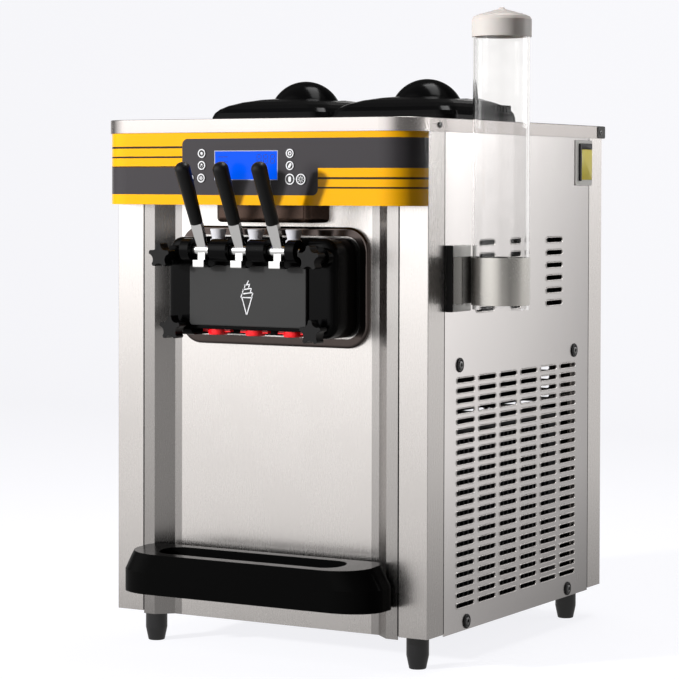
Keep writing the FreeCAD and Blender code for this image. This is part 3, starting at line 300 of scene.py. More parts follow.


# %% [markdown]
# ## One recipe for an ordinary surface
# Most finishes here differ only in numbers: base colour, how rough, how much relief and which way it runs, and how
# much edge wear with painted edge highlight and dust they show. `surface` wires the shared groups into a Principled
# shader that stays in the material. Values that are the same all over go straight on the shader. A large sheet may
# also get painted shade along an axis.

# %% Surface recipe
def surface(
    name, colour, rough, metallic=0.0, stretch=(900, 900, 900), relief=0.00002, drift=0.06, wear_and_highlight_colour=None,
    rub_strength=0.5, edge_radius=0.0006, dust=0.1, smudge=0.5, painted_shade=(), **fixed,
):
    """rough is (clean, smudged) roughness; relief is the grain's height in metres; fixed sets shader sockets.

    A list of (axis, start, end, level at the start, level at the end) paints shade along that axis: it darkens or
    lightens the colour there.
    """
    material = bpy.data.materials.new(name)
    material.use_nodes = True
    tree = material.node_tree
    shader = tree.nodes["Principled BSDF"]
    point = add(tree, "ShaderNodeTexCoord").outputs["Object"]

    grain = add(tree, "ShaderNodeGroup", node_tree=grain_group)
    feed(tree, point, grain.inputs["Point"])
    grain.inputs["Stretch"].default_value = stretch
    handling = add(tree, "ShaderNodeGroup", node_tree=handling_group)
    feed(tree, point, handling.inputs["Point"])
    edges = add(tree, "ShaderNodeGroup", node_tree=edge_wear_highlight_group)
    edges.inputs["Radius"].default_value = edge_radius
    edges.inputs["Strength"].default_value = rub_strength

    darker = tuple(c * (1 - drift) for c in colour[:3]) + (1.0,)
    lighter = tuple(min(1.0, c * (1 + drift)) for c in colour[:3]) + (1.0,)
    toned = blend_colour(tree, grain.outputs["Tone"], darker, lighter)
    # Painted shade: each entry darkens or lightens the colour between two places along an axis.
    for axis, start, end, first, last in painted_shade:
        place = add(tree, "ShaderNodeSeparateXYZ")
        feed(tree, point, place.inputs[0])
        shaded = add(tree, "ShaderNodeGroup", node_tree=painted_shade_group)
        for item, socket in zip((place.outputs[axis], start, end, first, last, toned), shaded.inputs):
            feed(tree, item, socket)
        toned = shaded.outputs["Colour"]
    # Edges take a lighter colour: partly wear, partly a painted highlight.
    worn_and_lit = blend_colour(tree, edges.outputs["Mask"], toned, wear_and_highlight_colour or lighter)
    dusty = maths(tree, "MULTIPLY", handling.outputs["Dust"], dust)
    feed(tree, blend_colour(tree, dusty, worn_and_lit, paint(0.72, 0.70, 0.67)), shader.inputs["Base Color"])

    clean, dull = rough
    patch = maths(tree, "MULTIPLY", handling.outputs["Smudge"], smudge)
    roughness = maths(tree, "ADD", maths(tree, "MULTIPLY", patch, dull - clean), clean)
    hairline = maths(tree, "MULTIPLY", maths(tree, "SUBTRACT", grain.outputs["Height"], 0.5), 0.06)
    feed(tree, maths(tree, "ADD", roughness, hairline, clamp=True), shader.inputs["Roughness"])

    bump = add(tree, "ShaderNodeBump")
    bump.inputs["Distance"].default_value = relief
    feed(tree, grain.outputs["Height"], bump.inputs["Height"])
    feed(tree, edges.outputs["Normal"], bump.inputs["Normal"])
    feed(tree, bump.outputs["Normal"], shader.inputs["Normal"])
    shader.inputs["Metallic"].default_value = metallic
    for socket, value in fixed.items():
        shader.inputs[socket.replace("_", " ")].default_value = value
    return material


UPRIGHT_HAIRLINES = (2600.0, 2600.0, 18.0)
LEVEL_HAIRLINES = (18.0, 2600.0, 2600.0)
FINE_PIMPLES = (1500.0, 1500.0, 1500.0)
RECESS_HALF = 0.160      # from the centre line to each side of the tap recess
RECESS_BLUR = 0.0005     # half the width of the step in tone there
STRAP_SHADE = (0.272, 0.345)   # the band comes out of the cabinet's shade between these
brushed = dict(metallic=1.0, relief=0.0000008, drift=0.02, rub_strength=0.35, dust=0.03, Anisotropic=0.5)
finishes = {}
finishes["panel_steel"] = surface(
    "panel_steel", paint(0.84, 0.825, 0.815), (0.26, 0.31), stretch=UPRIGHT_HAIRLINES, **brushed
)
# Painted light and shade: the side sheets are a lighter copy of the panel steel, painted darker towards the rear.
finishes["side_steel_painted_light_and_shade"] = surface(
    "side_steel_painted_light_and_shade", paint(0.99, 0.975, 0.97), (0.24, 0.30), stretch=UPRIGHT_HAIRLINES,
    painted_shade=[("Y", front_y, rear_y, 1.0, 0.45)], **brushed
)
# The strips beside the tap recess stand in the shade of the head and the posts; that shade is painted into their
# colour, and the rest of the sheet is a lighter copy of the panel steel.
finishes["recess_steel_painted_light_and_shade"] = surface(
    "recess_steel_painted_light_and_shade", paint(0.88, 0.865, 0.855), (0.26, 0.31), stretch=UPRIGHT_HAIRLINES,
    painted_shade=[
        ("X", centre_x - (RECESS_HALF - RECESS_BLUR), centre_x - (RECESS_HALF + RECESS_BLUR), 1.0, 0.50),
        ("X", centre_x + (RECESS_HALF - RECESS_BLUR), centre_x + (RECESS_HALF + RECESS_BLUR), 1.0, 0.62),
    ],
    **brushed
)
# Painted shade: the band is a darker copy of the sheet steel, painted darker still near the cabinet, where the cabinet
# shades it.
finishes["strap_steel_painted_shade"] = surface(
    "strap_steel_painted_shade", paint(0.76, 0.75, 0.73), (0.26, 0.31), stretch=LEVEL_HAIRLINES,
    painted_shade=[("X", centre_x + STRAP_SHADE[0], centre_x + STRAP_SHADE[1], 0.22, 1.0)], **brushed
)
# Painted shade: the cover's steel is a darker copy of the sheet steel.
finishes["cover_steel"] = surface(
    "cover_steel", paint(0.72, 0.70, 0.69), (0.24, 0.30), stretch=LEVEL_HAIRLINES, **brushed
)
finishes["tank_steel"] = surface(
    "tank_steel", paint(0.80, 0.80, 0.80), (0.22, 0.32), metallic=1.0, relief=0.00001, dust=0.02
)
finishes["bright_steel"] = surface(
    "bright_steel", paint(0.88, 0.88, 0.88), (0.14, 0.24), metallic=1.0, relief=0.000006, dust=0.0
)
# Painted reflection: the bezel's dark colour paints the black door mirrored in its polished steel, and its pale edge
# colour paints a highlight along the rims.
finishes["chrome_painted_reflection"] = surface(
    "chrome_painted_reflection", paint(0.30, 0.27, 0.26), (0.12, 0.2), metallic=1.0, relief=0.000003, dust=0.0,
    wear_and_highlight_colour=paint(0.72, 0.70, 0.68), rub_strength=0.6,
)
# Painted reflection: the cowl's dark bronze colour paints the yellow fascia mirrored in its polished metal.
finishes["bronze"] = surface(
    "bronze", paint(0.28, 0.22, 0.19), (0.2, 0.3), metallic=0.8, relief=0.000004, dust=0.02
)
GLOSS = dict(dust=0.0, rub_strength=0.35, IOR=1.15)
finishes["gloss_black"] = surface(
    "gloss_black", paint(0.022, 0.022, 0.024), (0.16, 0.26), relief=0.000003, wear_and_highlight_colour=paint(0.08, 0.08, 0.08), **GLOSS
)
finishes["tray_black"] = surface(
    "tray_black", paint(0.03, 0.03, 0.03), (0.2, 0.3), relief=0.000003, wear_and_highlight_colour=paint(0.14, 0.13, 0.13), dust=0.0,
    rub_strength=0.4, IOR=1.07,
)
finishes["inner_black"] = surface("inner_black", paint(0.03, 0.03, 0.03), (0.7, 0.8), dust=0.0, IOR=1.2)
finishes["satin_black"] = surface(
    "satin_black", paint(0.035, 0.035, 0.037), (0.36, 0.46), stretch=FINE_PIMPLES, relief=0.00003,
    wear_and_highlight_colour=paint(0.12, 0.12, 0.12), dust=0.01, Specular_IOR_Level=0.22,
)
finishes["foot_plastic"] = surface(
    "foot_plastic", paint(0.06, 0.06, 0.066), (0.14, 0.22), relief=0.000004, wear_and_highlight_colour=paint(0.14, 0.14, 0.14), dust=0.02,
    IOR=1.7,
)
finishes["dark_grey"] = surface(
    "dark_grey", paint(0.165, 0.165, 0.165), (0.38, 0.48), stretch=FINE_PIMPLES, relief=0.00002,
    wear_and_highlight_colour=paint(0.32, 0.32, 0.33), dust=0.02, Specular_IOR_Level=0.3,
)
finishes["light_grey"] = surface(
    "light_grey", paint(0.80, 0.80, 0.82), (0.3, 0.4), relief=0.00001, wear_and_highlight_colour=paint(0.8, 0.8, 0.81), dust=0.02
)
finishes["outlet_red"] = surface(
    "outlet_red", paint(0.95, 0.05, 0.10), (0.2, 0.3), relief=0.000008, wear_and_highlight_colour=paint(0.9, 0.25, 0.27), dust=0.0
)
finishes["cap_white"] = surface(
    "cap_white", paint(0.80, 0.77, 0.75), (0.36, 0.46), stretch=FINE_PIMPLES, relief=0.00002,
    wear_and_highlight_colour=paint(0.88, 0.86, 0.84), dust=0.03, Subsurface_Weight=0.05,
)
finishes["pale_plastic"] = surface(
    "pale_plastic", paint(0.94, 0.93, 0.91), (0.32, 0.42), relief=0.00001, wear_and_highlight_colour=paint(0.95, 0.94, 0.93)
)
finishes["seal_rubber"] = surface("seal_rubber", paint(0.45, 0.43, 0.41), (0.55, 0.65), stretch=FINE_PIMPLES)
finishes["galvanised"] = surface(
    "galvanised", paint(0.34, 0.34, 0.35), (0.4, 0.55), metallic=0.8, stretch=(160, 160, 160), drift=0.2
)
finishes["machine_black"] = surface("machine_black", paint(0.08, 0.08, 0.09), (0.4, 0.55), dust=0.2)
finishes["fin_aluminium"] = surface(
    "fin_aluminium", paint(0.16, 0.16, 0.17), (0.4, 0.55), metallic=0.6, drift=0.2, dust=0.15
)
finishes["screw_steel"] = surface("screw_steel", paint(0.42, 0.42, 0.42), (0.25, 0.4), metallic=1.0)
finishes["button_caps"] = surface(
    "button_caps", paint(0.16, 0.155, 0.16), (0.18, 0.28), relief=0.000004, wear_and_highlight_colour=paint(0.5, 0.5, 0.5)
)
finishes["label_yellow"] = surface("label_yellow", paint(1.0, 0.90, 0.10), (0.3, 0.4), relief=0.000002, dust=0.01)
finishes["dim_blue"] = surface("dim_blue", paint(0.02, 0.10, 0.45), (0.3, 0.4), relief=0.000002, dust=0.0)
finishes["mark_white"] = surface("mark_white", paint(0.88, 0.88, 0.89), (0.3, 0.4), relief=0.000002, dust=0.0)
print(len(finishes), "finishes so far")

# %% [markdown]
# ## The printed fascia
# The head's face is a printed steel sheet: a yellow ground, a charcoal panel behind the display that runs on to the
# right, and pinstripes at both ends. Every shape is one printed box, laid over the one before, as inks are.

# %% Finish: fascia print
YELLOW = paint(0.90, 0.645, 0.035)
CHARCOAL = paint(0.22, 0.21, 0.22)
LINE_DARK = paint(0.16, 0.13, 0.08)


def fascia_print():
    """Lays the inks over one another.

    boxes are (left, right, low, high, corner, colour) in mm about the centre line.
    """
    material = surface(
        "fascia_print", YELLOW, (0.2, 0.3), relief=0.000004, drift=0.015, wear_and_highlight_colour=paint(0.97, 0.8, 0.3),
        rub_strength=0.3, dust=0.0, IOR=1.25,
    )
    tree = material.node_tree
    shader = tree.nodes["Principled BSDF"]
    ground = shader.inputs["Base Color"].links[0].from_socket
    place = add(tree, "ShaderNodeSeparateXYZ")
    feed(tree, add(tree, "ShaderNodeTexCoord").outputs["Object"], place.inputs[0])
    inks = [
        (-300, -113, 612.5, 651, 0, CHARCOAL),
        (-300, -113, 664.5, 667.2, 0, LINE_DARK),
        (-300, -113, 678.5, 681.5, 0, LINE_DARK),
        (-300, -113, 651, 653, 0, LINE_DARK),
        (113, 300, 621.5, 624, 0, LINE_DARK),
        (113, 300, 634.5, 637.5, 0, LINE_DARK),
        (-113, 113, 612, 692, 9, CHARCOAL),
        (90, 300, 650, 692, 0, CHARCOAL),
        (-113, 0, 612, 640, 3, CHARCOAL),
    ]
    for left, right, low, high, corner, ink in inks:
        box = add(tree, "ShaderNodeGroup", node_tree=print_group)
        feed(tree, place.outputs["X"], box.inputs["Across"])
        feed(tree, place.outputs["Z"], box.inputs["Up"])
        box.inputs["Middle Across"].default_value = centre_x + (left + right) / 2 * MM
        box.inputs["Middle Up"].default_value = cabinet_low + (low + high) / 2 * MM
        box.inputs["Half Width"].default_value = (right - left) / 2 * MM
        box.inputs["Half Height"].default_value = (high - low) / 2 * MM
        box.inputs["Corner"].default_value = max(corner, 0.5) * MM
        ground = blend_colour(tree, box.outputs["Mask"], ground, ink)
    feed(tree, ground, shader.inputs["Base Color"])
    return material


finishes["fascia_print"] = fascia_print()
print("inks laid")

# %% [markdown]
# The display is backlit: a deep blue field that glows a little, in a pale frame. The glow is the shader's own
# emission, fed by the same printed boxes, so the frame stays unlit.

# %% Finish: display
def display_glass():
    material = surface(
        "display_glass", paint(0.0, 0.10, 0.45), (0.12, 0.2), relief=0.000002, drift=0.02, rub_strength=0.0,
        dust=0.0, IOR=1.2,
    )
    tree = material.node_tree
    shader = tree.nodes["Principled BSDF"]
    low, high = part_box("lcd_display")
    place = add(tree, "ShaderNodeSeparateXYZ")
    feed(tree, add(tree, "ShaderNodeTexCoord").outputs["Object"], place.inputs[0])
    box = add(tree, "ShaderNodeGroup", node_tree=print_group)
    feed(tree, place.outputs["X"], box.inputs["Across"])
    feed(tree, place.outputs["Z"], box.inputs["Up"])
    box.inputs["Middle Across"].default_value = (low.x + high.x) / 2
    box.inputs["Middle Up"].default_value = (low.z + high.z) / 2
    box.inputs["Half Width"].default_value = 51.8 * MM
    box.inputs["Half Height"].default_value = 19.8 * MM
    box.inputs["Corner"].default_value = 0.5 * MM
    lit = box.outputs["Mask"]
    blue = paint(0.0, 0.36, 0.97)
    frame_ink = paint(0.62, 0.64, 0.70)
    feed(tree, blend_colour(tree, lit, frame_ink, paint(0.0, 0.08, 0.35)), shader.inputs["Base Color"])
    feed(tree, blend_colour(tree, lit, (0, 0, 0, 1), blue), shader.inputs["Emission Color"])
    shader.inputs["Emission Strength"].default_value = 0.9
    return material


finishes["display_glass"] = display_glass()
print("display ready")

# %% [markdown]
# The cone tube is thin clear plastic. Light goes nearly straight through it, and it shows mainly at its edges, so a
# transmissive shader with a low roughness does it, with thin walls on both sides of the mesh.

# %% Finish: clear tube
def clear_plastic():
    material = bpy.data.materials.new("clear_plastic")
    material.use_nodes = True
    tree = material.node_tree
    shader = tree.nodes["Principled BSDF"]
    handling = add(tree, "ShaderNodeGroup", node_tree=handling_group)
    feed(tree, add(tree, "ShaderNodeTexCoord").outputs["Object"], handling.inputs["Point"])
    haze = remap(tree, handling.outputs["Smudge"], 0.0, 1.0, 0.0, 0.02)
    feed(tree, haze, shader.inputs["Roughness"])
    feed(
        tree,
        blend_colour(tree, handling.outputs["Smudge"], paint(0.985, 0.985, 0.985), paint(0.965, 0.965, 0.965)),
        shader.inputs["Base Color"],
    )
    shader.inputs["Transmission Weight"].default_value = 1.0
    shader.inputs["IOR"].default_value = 1.3
    return material


finishes["clear_plastic"] = clear_plastic()
print(len(finishes), "finishes")

# %% [markdown]
# ## Dressing the frame's own pieces
# Sheet metal needs no new mesh: the frame's folds and slots are exact. These pieces keep their shape and get their
# finish, by the material slot that the record names for each.

# %% Finishes on the frame
finish_of_slot = {
    "stainless": "panel_steel", "cover_steel": "cover_steel", "tank_steel": "tank_steel",
    "bright_steel": "bright_steel", "bezel_chrome": "chrome_painted_reflection", "fascia_print": "fascia_print",
    "display": "display_glass", "button_caps": "button_caps", "bronze": "bronze", "black_gloss": "gloss_black",
    "black_satin": "satin_black", "dark_grey": "dark_grey", "light_grey": "light_grey", "outlet_red": "outlet_red",
    "cap_white": "cap_white", "clear_tube": "clear_plastic", "block_plastic": "pale_plastic",
    "seal_rubber": "seal_rubber", "foot_rubber": "foot_plastic", "galvanised": "galvanised",
    "machine_black": "machine_black", "fin_aluminium": "fin_aluminium", "fan_plastic": "satin_black",
    "screw_steel": "screw_steel",
}
slot_of_node = {}
for part in frame["record"]["subparts"]:
    slot_of_node[part["node"]] = part["material_slot"]
own_finish = {
    "side_panel_left": "side_steel_painted_light_and_shade", "side_panel_right": "side_steel_painted_light_and_shade", "front_panel": "recess_steel_painted_light_and_shade",
    "dispenser_band": "strap_steel_painted_shade", "drip_tray": "tray_black",
}
for name, node in frame["nodes"].items():
    finish = finishes[own_finish.get(name, finish_of_slot[slot_of_node[name]])]
    node.data.materials.clear()
    node.data.materials.append(finish)
print(len(slot_of_node), "nodes dressed")

# %% [markdown]
# ## Making small pieces
# The frame has the big shapes. What is still missing is what a fitter adds by hand: grommets, rims, trims and marks.
# A place is given as millimetres across from the centre line, back from the post fronts and up from the floor.
# `skin` is the only way a surface is made here: it joins outlines of equal length, one after the other.

# %% Mesh helpers
def at(x, y, z):
    return Vector((centre_x + x * MM, front_y + y * MM, z * MM))


def skin(form, loops, ends=True, wrap=False):
    """Joins outlines with a band of faces; closes the first and last, or wraps them into a ring."""
    rows = [[form.verts.new(point) for point in loop] for loop in loops]
    pairs = list(zip(rows, rows[1:])) + ([(rows[-1], rows[0])] if wrap else [])
    for near, far in pairs:
        for i in range(len(near)):
            j = (i + 1) % len(near)
            form.faces.new((near[i], near[j], far[j], far[i]))
    if ends and not wrap:
        form.faces.new(rows[0])
        form.faces.new(rows[-1])


def on_plane(plane, level, across, up, origin):
    """One point of an outline: plane names the axis it faces along, level is the offset along that axis."""
    offset = {"X": (level, across, up), "Y": (across, level, up), "Z": (across, up, level)}[plane]
    return origin + Vector(offset) * MM


def turned(form, profile, origin, plane, ring=False, count=28):
    """Revolves (radius, level) pairs about the axis that plane names."""
    loops = []
    for radius, level in profile:
        angles = [2 * math.pi * step / count for step in range(count)]
        loops.append(
            [on_plane(plane, level, radius * math.cos(a), radius * math.sin(a), origin) for a in angles]
        )
    skin(form, loops, wrap=ring)


def rounded_outline(half_across, half_up, corner, count=4):
    """A rounded rectangle about nought, as (across, up) pairs. With corner = half_up it is a slot."""
    corner = max(min(corner, half_across, half_up), 0.01)
    points = []
    for number, (sign_a, sign_u) in enumerate(((1, 1), (-1, 1), (-1, -1), (1, -1))):
        for step in range(count + 1):
            angle = math.pi / 2 * (number + step / count)
            points.append(
                (
                    sign_a * (half_across - corner) + corner * math.cos(angle),
                    sign_u * (half_up - corner) + corner * math.sin(angle),
                )
            )
    return points


def slab(form, plane, origin, half_across, half_up, levels, corner, ends=True, wrap=False, count=4):
    """A block of rounded outlines; levels are (growth, level) pairs from back to front."""
    loops = []
    for grow, level in levels:
        outline = rounded_outline(half_across + grow, half_up + grow, max(corner + grow, 0.05), count)
        loops.append([on_plane(plane, level, across, up, origin) for across, up in outline])
    skin(form, loops, ends=ends, wrap=wrap)


def piece(name, form, finish, body="cabinet", crease=35):
    """Turns a form into an object with a finish that rides with a body of the frame."""
    bmesh.ops.recalc_face_normals(form, faces=form.faces)
    mesh = bpy.data.meshes.new(name)
    form.to_mesh(mesh)
    form.free()
    for polygon in mesh.polygons:
        polygon.use_smooth = True
    mesh.set_sharp_from_angle(angle=math.radians(crease))
    mesh.materials.append(finishes[finish])
    item = bpy.data.objects.new(name, mesh)
    bpy.context.scene.collection.objects.link(item)
    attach(item, body)
    return item


print("mesh helpers ready")

# %% [markdown]
# ## Pressed rims of the slots
# A punch that cuts a slot in thin sheet also curls its edge outwards a little. The curl is what catches the light
# along each row, so every slot gets one: a low ring that rolls over and drops back into the hole.

# %% Slot rims
def slot_rims(name, side):
    form = bmesh.new()
    face = (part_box("side_panel_" + name)[1 if side > 0 else 0].x - centre_x) / MM

    def rim(y, z, half_long, half_high):
        roll = [(1.9, -0.1), (1.5, 0.55), (0.8, 0.9), (0.1, 0.75), (-0.3, 0.1), (-0.3, -1.5)]
        levels = [(grow, side * out) for grow, out in roll]
        slab(form, "X", at(face, y, z), half_long, half_high, levels, half_high, ends=False, count=3)

    for column in range(6):
        for row in range(23):
            rim(48.5 + 36.5 + 27.5 + column * 67.4, 84.0 + row * 14.45, 27.5, 3.25)
    for column in (-1, 0, 1):
        for row in range(6):
            rim(286 + column * 114.5, 500 + row * 19, 28.0, 3.5)
    return piece("slot_rims_" + name, form, "panel_steel")


for name, side in (("left", -1), ("right", 1)):
    rims = slot_rims(name, side)
    print(rims.name, len(rims.data.vertices), "points")

# %% [markdown]
# ## Screws and grommets
# Each side sheet is held by four socket screws in black rubber grommets; the cover by one screw near each corner of
# its band. A head is a low turned button with a socket sunk in it.

# %% Screw heads
SCREW_PLACES = ((94, 423.9), (472, 423.9), (117, 59.0), (452, 59.0))
GROMMET = [(5.6, -0.5), (9.6, -0.5), (10.4, 0.2), (10.5, 1.0), (9.8, 1.9), (8.4, 2.3), (6.9, 1.8), (5.6, 0.6)]
PAN_HEAD = [(6.0, -0.5), (6.0, 2.0), (5.3, 2.9), (3.6, 3.4), (2.7, 3.3), (2.5, 1.4), (0.1, 1.2)]

heads, rings = bmesh.new(), bmesh.new()
for side in (-1, 1):
    face = side * half_width / MM
    for y, z in SCREW_PLACES:
        turned(rings, [(r, side * out) for r, out in GROMMET], at(face, y, z), "X", ring=True)
        turned(heads, [(r, side * out) for r, out in PAN_HEAD], at(face, y, z), "X")
    cover_face = side * (cover_high.x - centre_x) / MM
    for y in (28, 561):
        turned(heads, [(r * 0.7, side * out * 0.75) for r, out in PAN_HEAD], at(cover_face, y, 760), "X")
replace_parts(piece("screw_heads", heads, "screw_steel"), "cabinet_screws")
piece("screw_grommets", rings, "satin_black")
print("screws set")

# %% [markdown]
# ## Seams
# Where two sheets meet, a hair-wide black strip paints the shade in the gap, which draws the fine upright lines of the
# cabinet.

# %% Painted shade in the seams
seams = bmesh.new()
tall = (posts_high.z - posts_low.z) / MM / 2
for side in (-1, 1):
    middle_z = posts_low.z / MM + tall
    slab(seams, "Y", at(side * 213.9, 0, middle_z), 0.9, tall - 1, [(0.0, 0.6), (0.0, -0.12)], 0.2)
    for y in (48.0, 524.0):
        levels = [(0.0, -side * 0.6), (0.0, side * 0.12)]
        slab(seams, "X", at(side * half_width / MM, y, middle_z), 0.7, tall - 1, levels, 0.2)
piece("seam_painted_shade", seams, "inner_black")
print("seams drawn")

# %% [markdown]
# ## Trims on the cover and the side plate
# The rear corners of the cover are closed by grey caps. High on the right side, near the back, is a white plate with
# a yellow field, a black band and a raised black edge, all left blank. Such a plate often carries the power switch,
# and its pieces are named after one, but here it is fixed trim that nothing presses. The block that carries the cone
# tube has a black edge at the front.

# %% Corner caps and side plate
caps = bmesh.new()
for side in (-1, 1):
    face = side * (cover_high.x - centre_x) / MM
    soft = [(0.0, -1.0), (0.0, 1.0), (-0.5, 1.6)]
    slab(caps, "X", at(face, 564, 760.4), 13.5, 9.4, [(g, side * out * 0.8) for g, out in soft], 2.5)
piece("corner_caps", caps, "dark_grey")

side_face = half_width / MM


def switch_layer(name, finish, y, z, thick, corner=2.0, base=0.0):
    form = bmesh.new()
    middle = at(side_face, (y[0] + y[1]) / 2, (z[0] + z[1]) / 2)
    half_y, half_z = (y[1] - y[0]) / 2, (z[1] - z[0]) / 2
    levels = [(0.0, base - 0.3), (0.0, base + thick * 0.7), (-0.4, base + thick)]
    slab(form, "X", middle, half_y, half_z, levels, corner)
    return piece(name, form, finish)


switch_layer("switch_plate", "pale_plastic", (472, 533), (677, 747), 1.2)
switch_layer("switch_field", "label_yellow", (490, 532), (686, 733), 0.6, 1.0, 1.2)
switch_layer("switch_band", "satin_black", (490, 532), (733, 742), 0.9, 1.0, 1.2)
switch_layer("switch_rocker", "satin_black", (484, 489.5), (684, 742), 3.2, 2.0, 1.0)

mount_low, mount_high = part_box("dispenser_mount")
edge = bmesh.new()
slab(
    edge, "Y", Vector(((mount_low.x + mount_high.x) / 2, mount_low.y, (mount_low.z + mount_high.z) / 2)),
    (mount_high.x - mount_low.x) / MM / 2 - 0.2, (mount_high.z - mount_low.z) / MM / 2 - 0.2,
    [(0.0, 0.4), (0.0, -0.6), (-0.4, -1.0)], 1.0,
)
piece("mount_edge", edge, "satin_black")
print("trims fitted")

# %% [markdown]
# ## Marks on the keys
# Each key has a white sign of its own, raised by a hair, so that it can be told apart without words: a square for
# stop, a drop for washing, arms of ice for freezing. They are bars and rings laid on the key's face, and they move
# with the key.

# %% Key signs
def flat_ring(form, origin, outer, inner, rise=0.25, count=28):
    profile = [(inner, 0.1), (inner, -rise), (outer, -rise), (outer, 0.1)]
    turned(form, profile, origin, "Y", ring=True, count=count)


def flat_bar(form, origin, long, wide, degrees, offset=(0, 0), rise=0.25):
    """A bar in the key's face, turned by some degrees from level."""
    angle = math.radians(degrees)
    outline = rounded_outline(long / 2, wide / 2, wide / 2.2, 2)
    loops = []
    for level in (0.1, -rise):
        loop = []
        for across, up in outline:
            x = offset[0] + across * math.cos(angle) - up * math.sin(angle)
            z = offset[1] + across * math.sin(angle) + up * math.cos(angle)
            loop.append(on_plane("Y", level, x, z, origin))
        loops.append(loop)
    skin(form, loops)


def key_sign(name):
    low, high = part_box(name + "_button")
    origin = Vector(((low.x + high.x) / 2, low.y, (low.z + high.z) / 2))
    reach = (high.x - low.x) / MM / 2
    form = bmesh.new()
    flat_ring(form, origin, reach - 0.5, reach - 2.0)
    if name == "stop":
        flat_bar(form, origin, 4.2, 4.2, 0)
    elif name == "wash":
        flat_bar(form, origin, 5.6, 2.6, 90, (0, -0.2))
        flat_bar(form, origin, 4.4, 2.8, 0, (0, -1.4))
    elif name in ("freeze", "chill"):
        for degrees in (0, 60, 120) if name == "freeze" else (45, 90, 135):
            flat_bar(form, origin, 8.0, 1.0, degrees)
    elif name == "set":
        flat_ring(form, origin, 3.3, 1.7, count=6)
    elif name == "hard":
        flat_bar(form, origin, 7.4, 3.4, 55)
    elif name == "soft":
        flat_bar(form, origin, 8.0, 4.4, 90)
    else:
        flat_ring(form, origin, 3.2, 0.1)
        for degrees in range(0, 180, 45):
            flat_bar(form, origin, 10.0, 0.8, degrees)
    return piece(name + "_sign", form, "mark_white", name + "_button")


for name in ("stop", "wash", "chill", "freeze", "set", "hard", "soft", "light"):
    key_sign(name)
print("keys marked")

# %% [markdown]
# The display shows a few dim figures, each a set of seven short bars, and a fine pale line runs round it.

# %% Display figures
lcd_low, lcd_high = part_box("lcd_display")
lcd_face = Vector(((lcd_low.x + lcd_high.x) / 2, lcd_low.y, (lcd_low.z + lcd_high.z) / 2))
figures = bmesh.new()
for number in range(3):
    middle_x, middle_z = 22 + number * 11, 9
    for across, up, degrees in (
        (0, 6, 0), (0, 0, 0), (0, -6, 0), (-3.4, 3, 90), (3.4, 3, 90), (-3.4, -3, 90), (3.4, -3, 90)
    ):
        flat_bar(figures, lcd_face, 4.6, 0.8, degrees, (middle_x + across, middle_z + up), rise=0.12)
for number in range(4):
    flat_bar(figures, lcd_face, 16.0, 0.7, 0, (-38, 12 - number * 7), rise=0.12)
piece("display_figures", figures, "dim_blue")
print("display drawn")

# %% [markdown]
# On the front plate is a plain outline of a cone with a swirl on it. It is drawn in one line width, out of short
# bars with rounded ends.

# %% Cone sign
plate_low, plate_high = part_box("door_front_plate")
sign = bmesh.new()
sign_at = Vector((centre_x, plate_low.y, (plate_low.z + plate_high.z) / 2))
for across, up, long, degrees in (
    (-4.2, -14, 26, -72), (4.2, -14, 26, 72), (0, -2, 19, 0), (0, 4, 19, 8), (0, 10, 14, 8), (0, 16, 8.5, 8),
    (-8.6, 1, 6, 70), (9.2, 2, 6, 70), (-6.2, 7.4, 6, 70), (6.8, 8.6, 6, 70), (-3.4, 13.6, 6, 70), (4.0, 14.8, 6, 70),
    (1.4, 19.4, 6, 60),
):
    flat_bar(sign, sign_at, long, 1.5, degrees, (across, up), rise=0.3)
piece("cone_sign", sign, "mark_white")
print("sign drawn")

# %% [markdown]
# ## Inside
# Black blocks round the two tanks and black sheets behind the slots are painted shade: through the slots they read
# as darkness, and without them daylight would show from one side to the other. With a lid off, each tank shows its
# air tube.

# %% Painted shade inside, and air tubes
def shade_block(name, box_x, box_y, box_z, hole_x=None, hole_y=None):
    form = bmesh.new()
    middle = at(sum(box_x) / 2, sum(box_y) / 2, 0)
    half_x, half_y = (box_x[1] - box_x[0]) / 2, (box_y[1] - box_y[0]) / 2
    outside = [(half_x, half_y, box_z[0]), (half_x, half_y, box_z[1])]
    loops = []
    for reach_x, reach_y, z in outside:
        outline = rounded_outline(reach_x, reach_y, 12)
        loops.append([on_plane("Z", z, across, up, middle) for across, up in outline])
    if hole_x:
        inner = ((hole_x[1] - hole_x[0]) / 2, (hole_y[1] - hole_y[0]) / 2)
        for z in (box_z[1], box_z[0]):
            outline = rounded_outline(inner[0], inner[1], 14)
            loops.append([on_plane("Z", z, across, up, middle) for across, up in outline])
    skin(form, loops, wrap=bool(hole_x))
    return piece(name, form, "inner_black")


def shade_sheet(name, x, y, z):
    form = bmesh.new()
    middle = at(x, sum(y) / 2, sum(z) / 2)
    slab(form, "X", middle, (y[1] - y[0]) / 2, (z[1] - z[0]) / 2, [(0.0, -1.0), (0.0, 1.0)], 3.0)
    return piece(name, form, "inner_black")


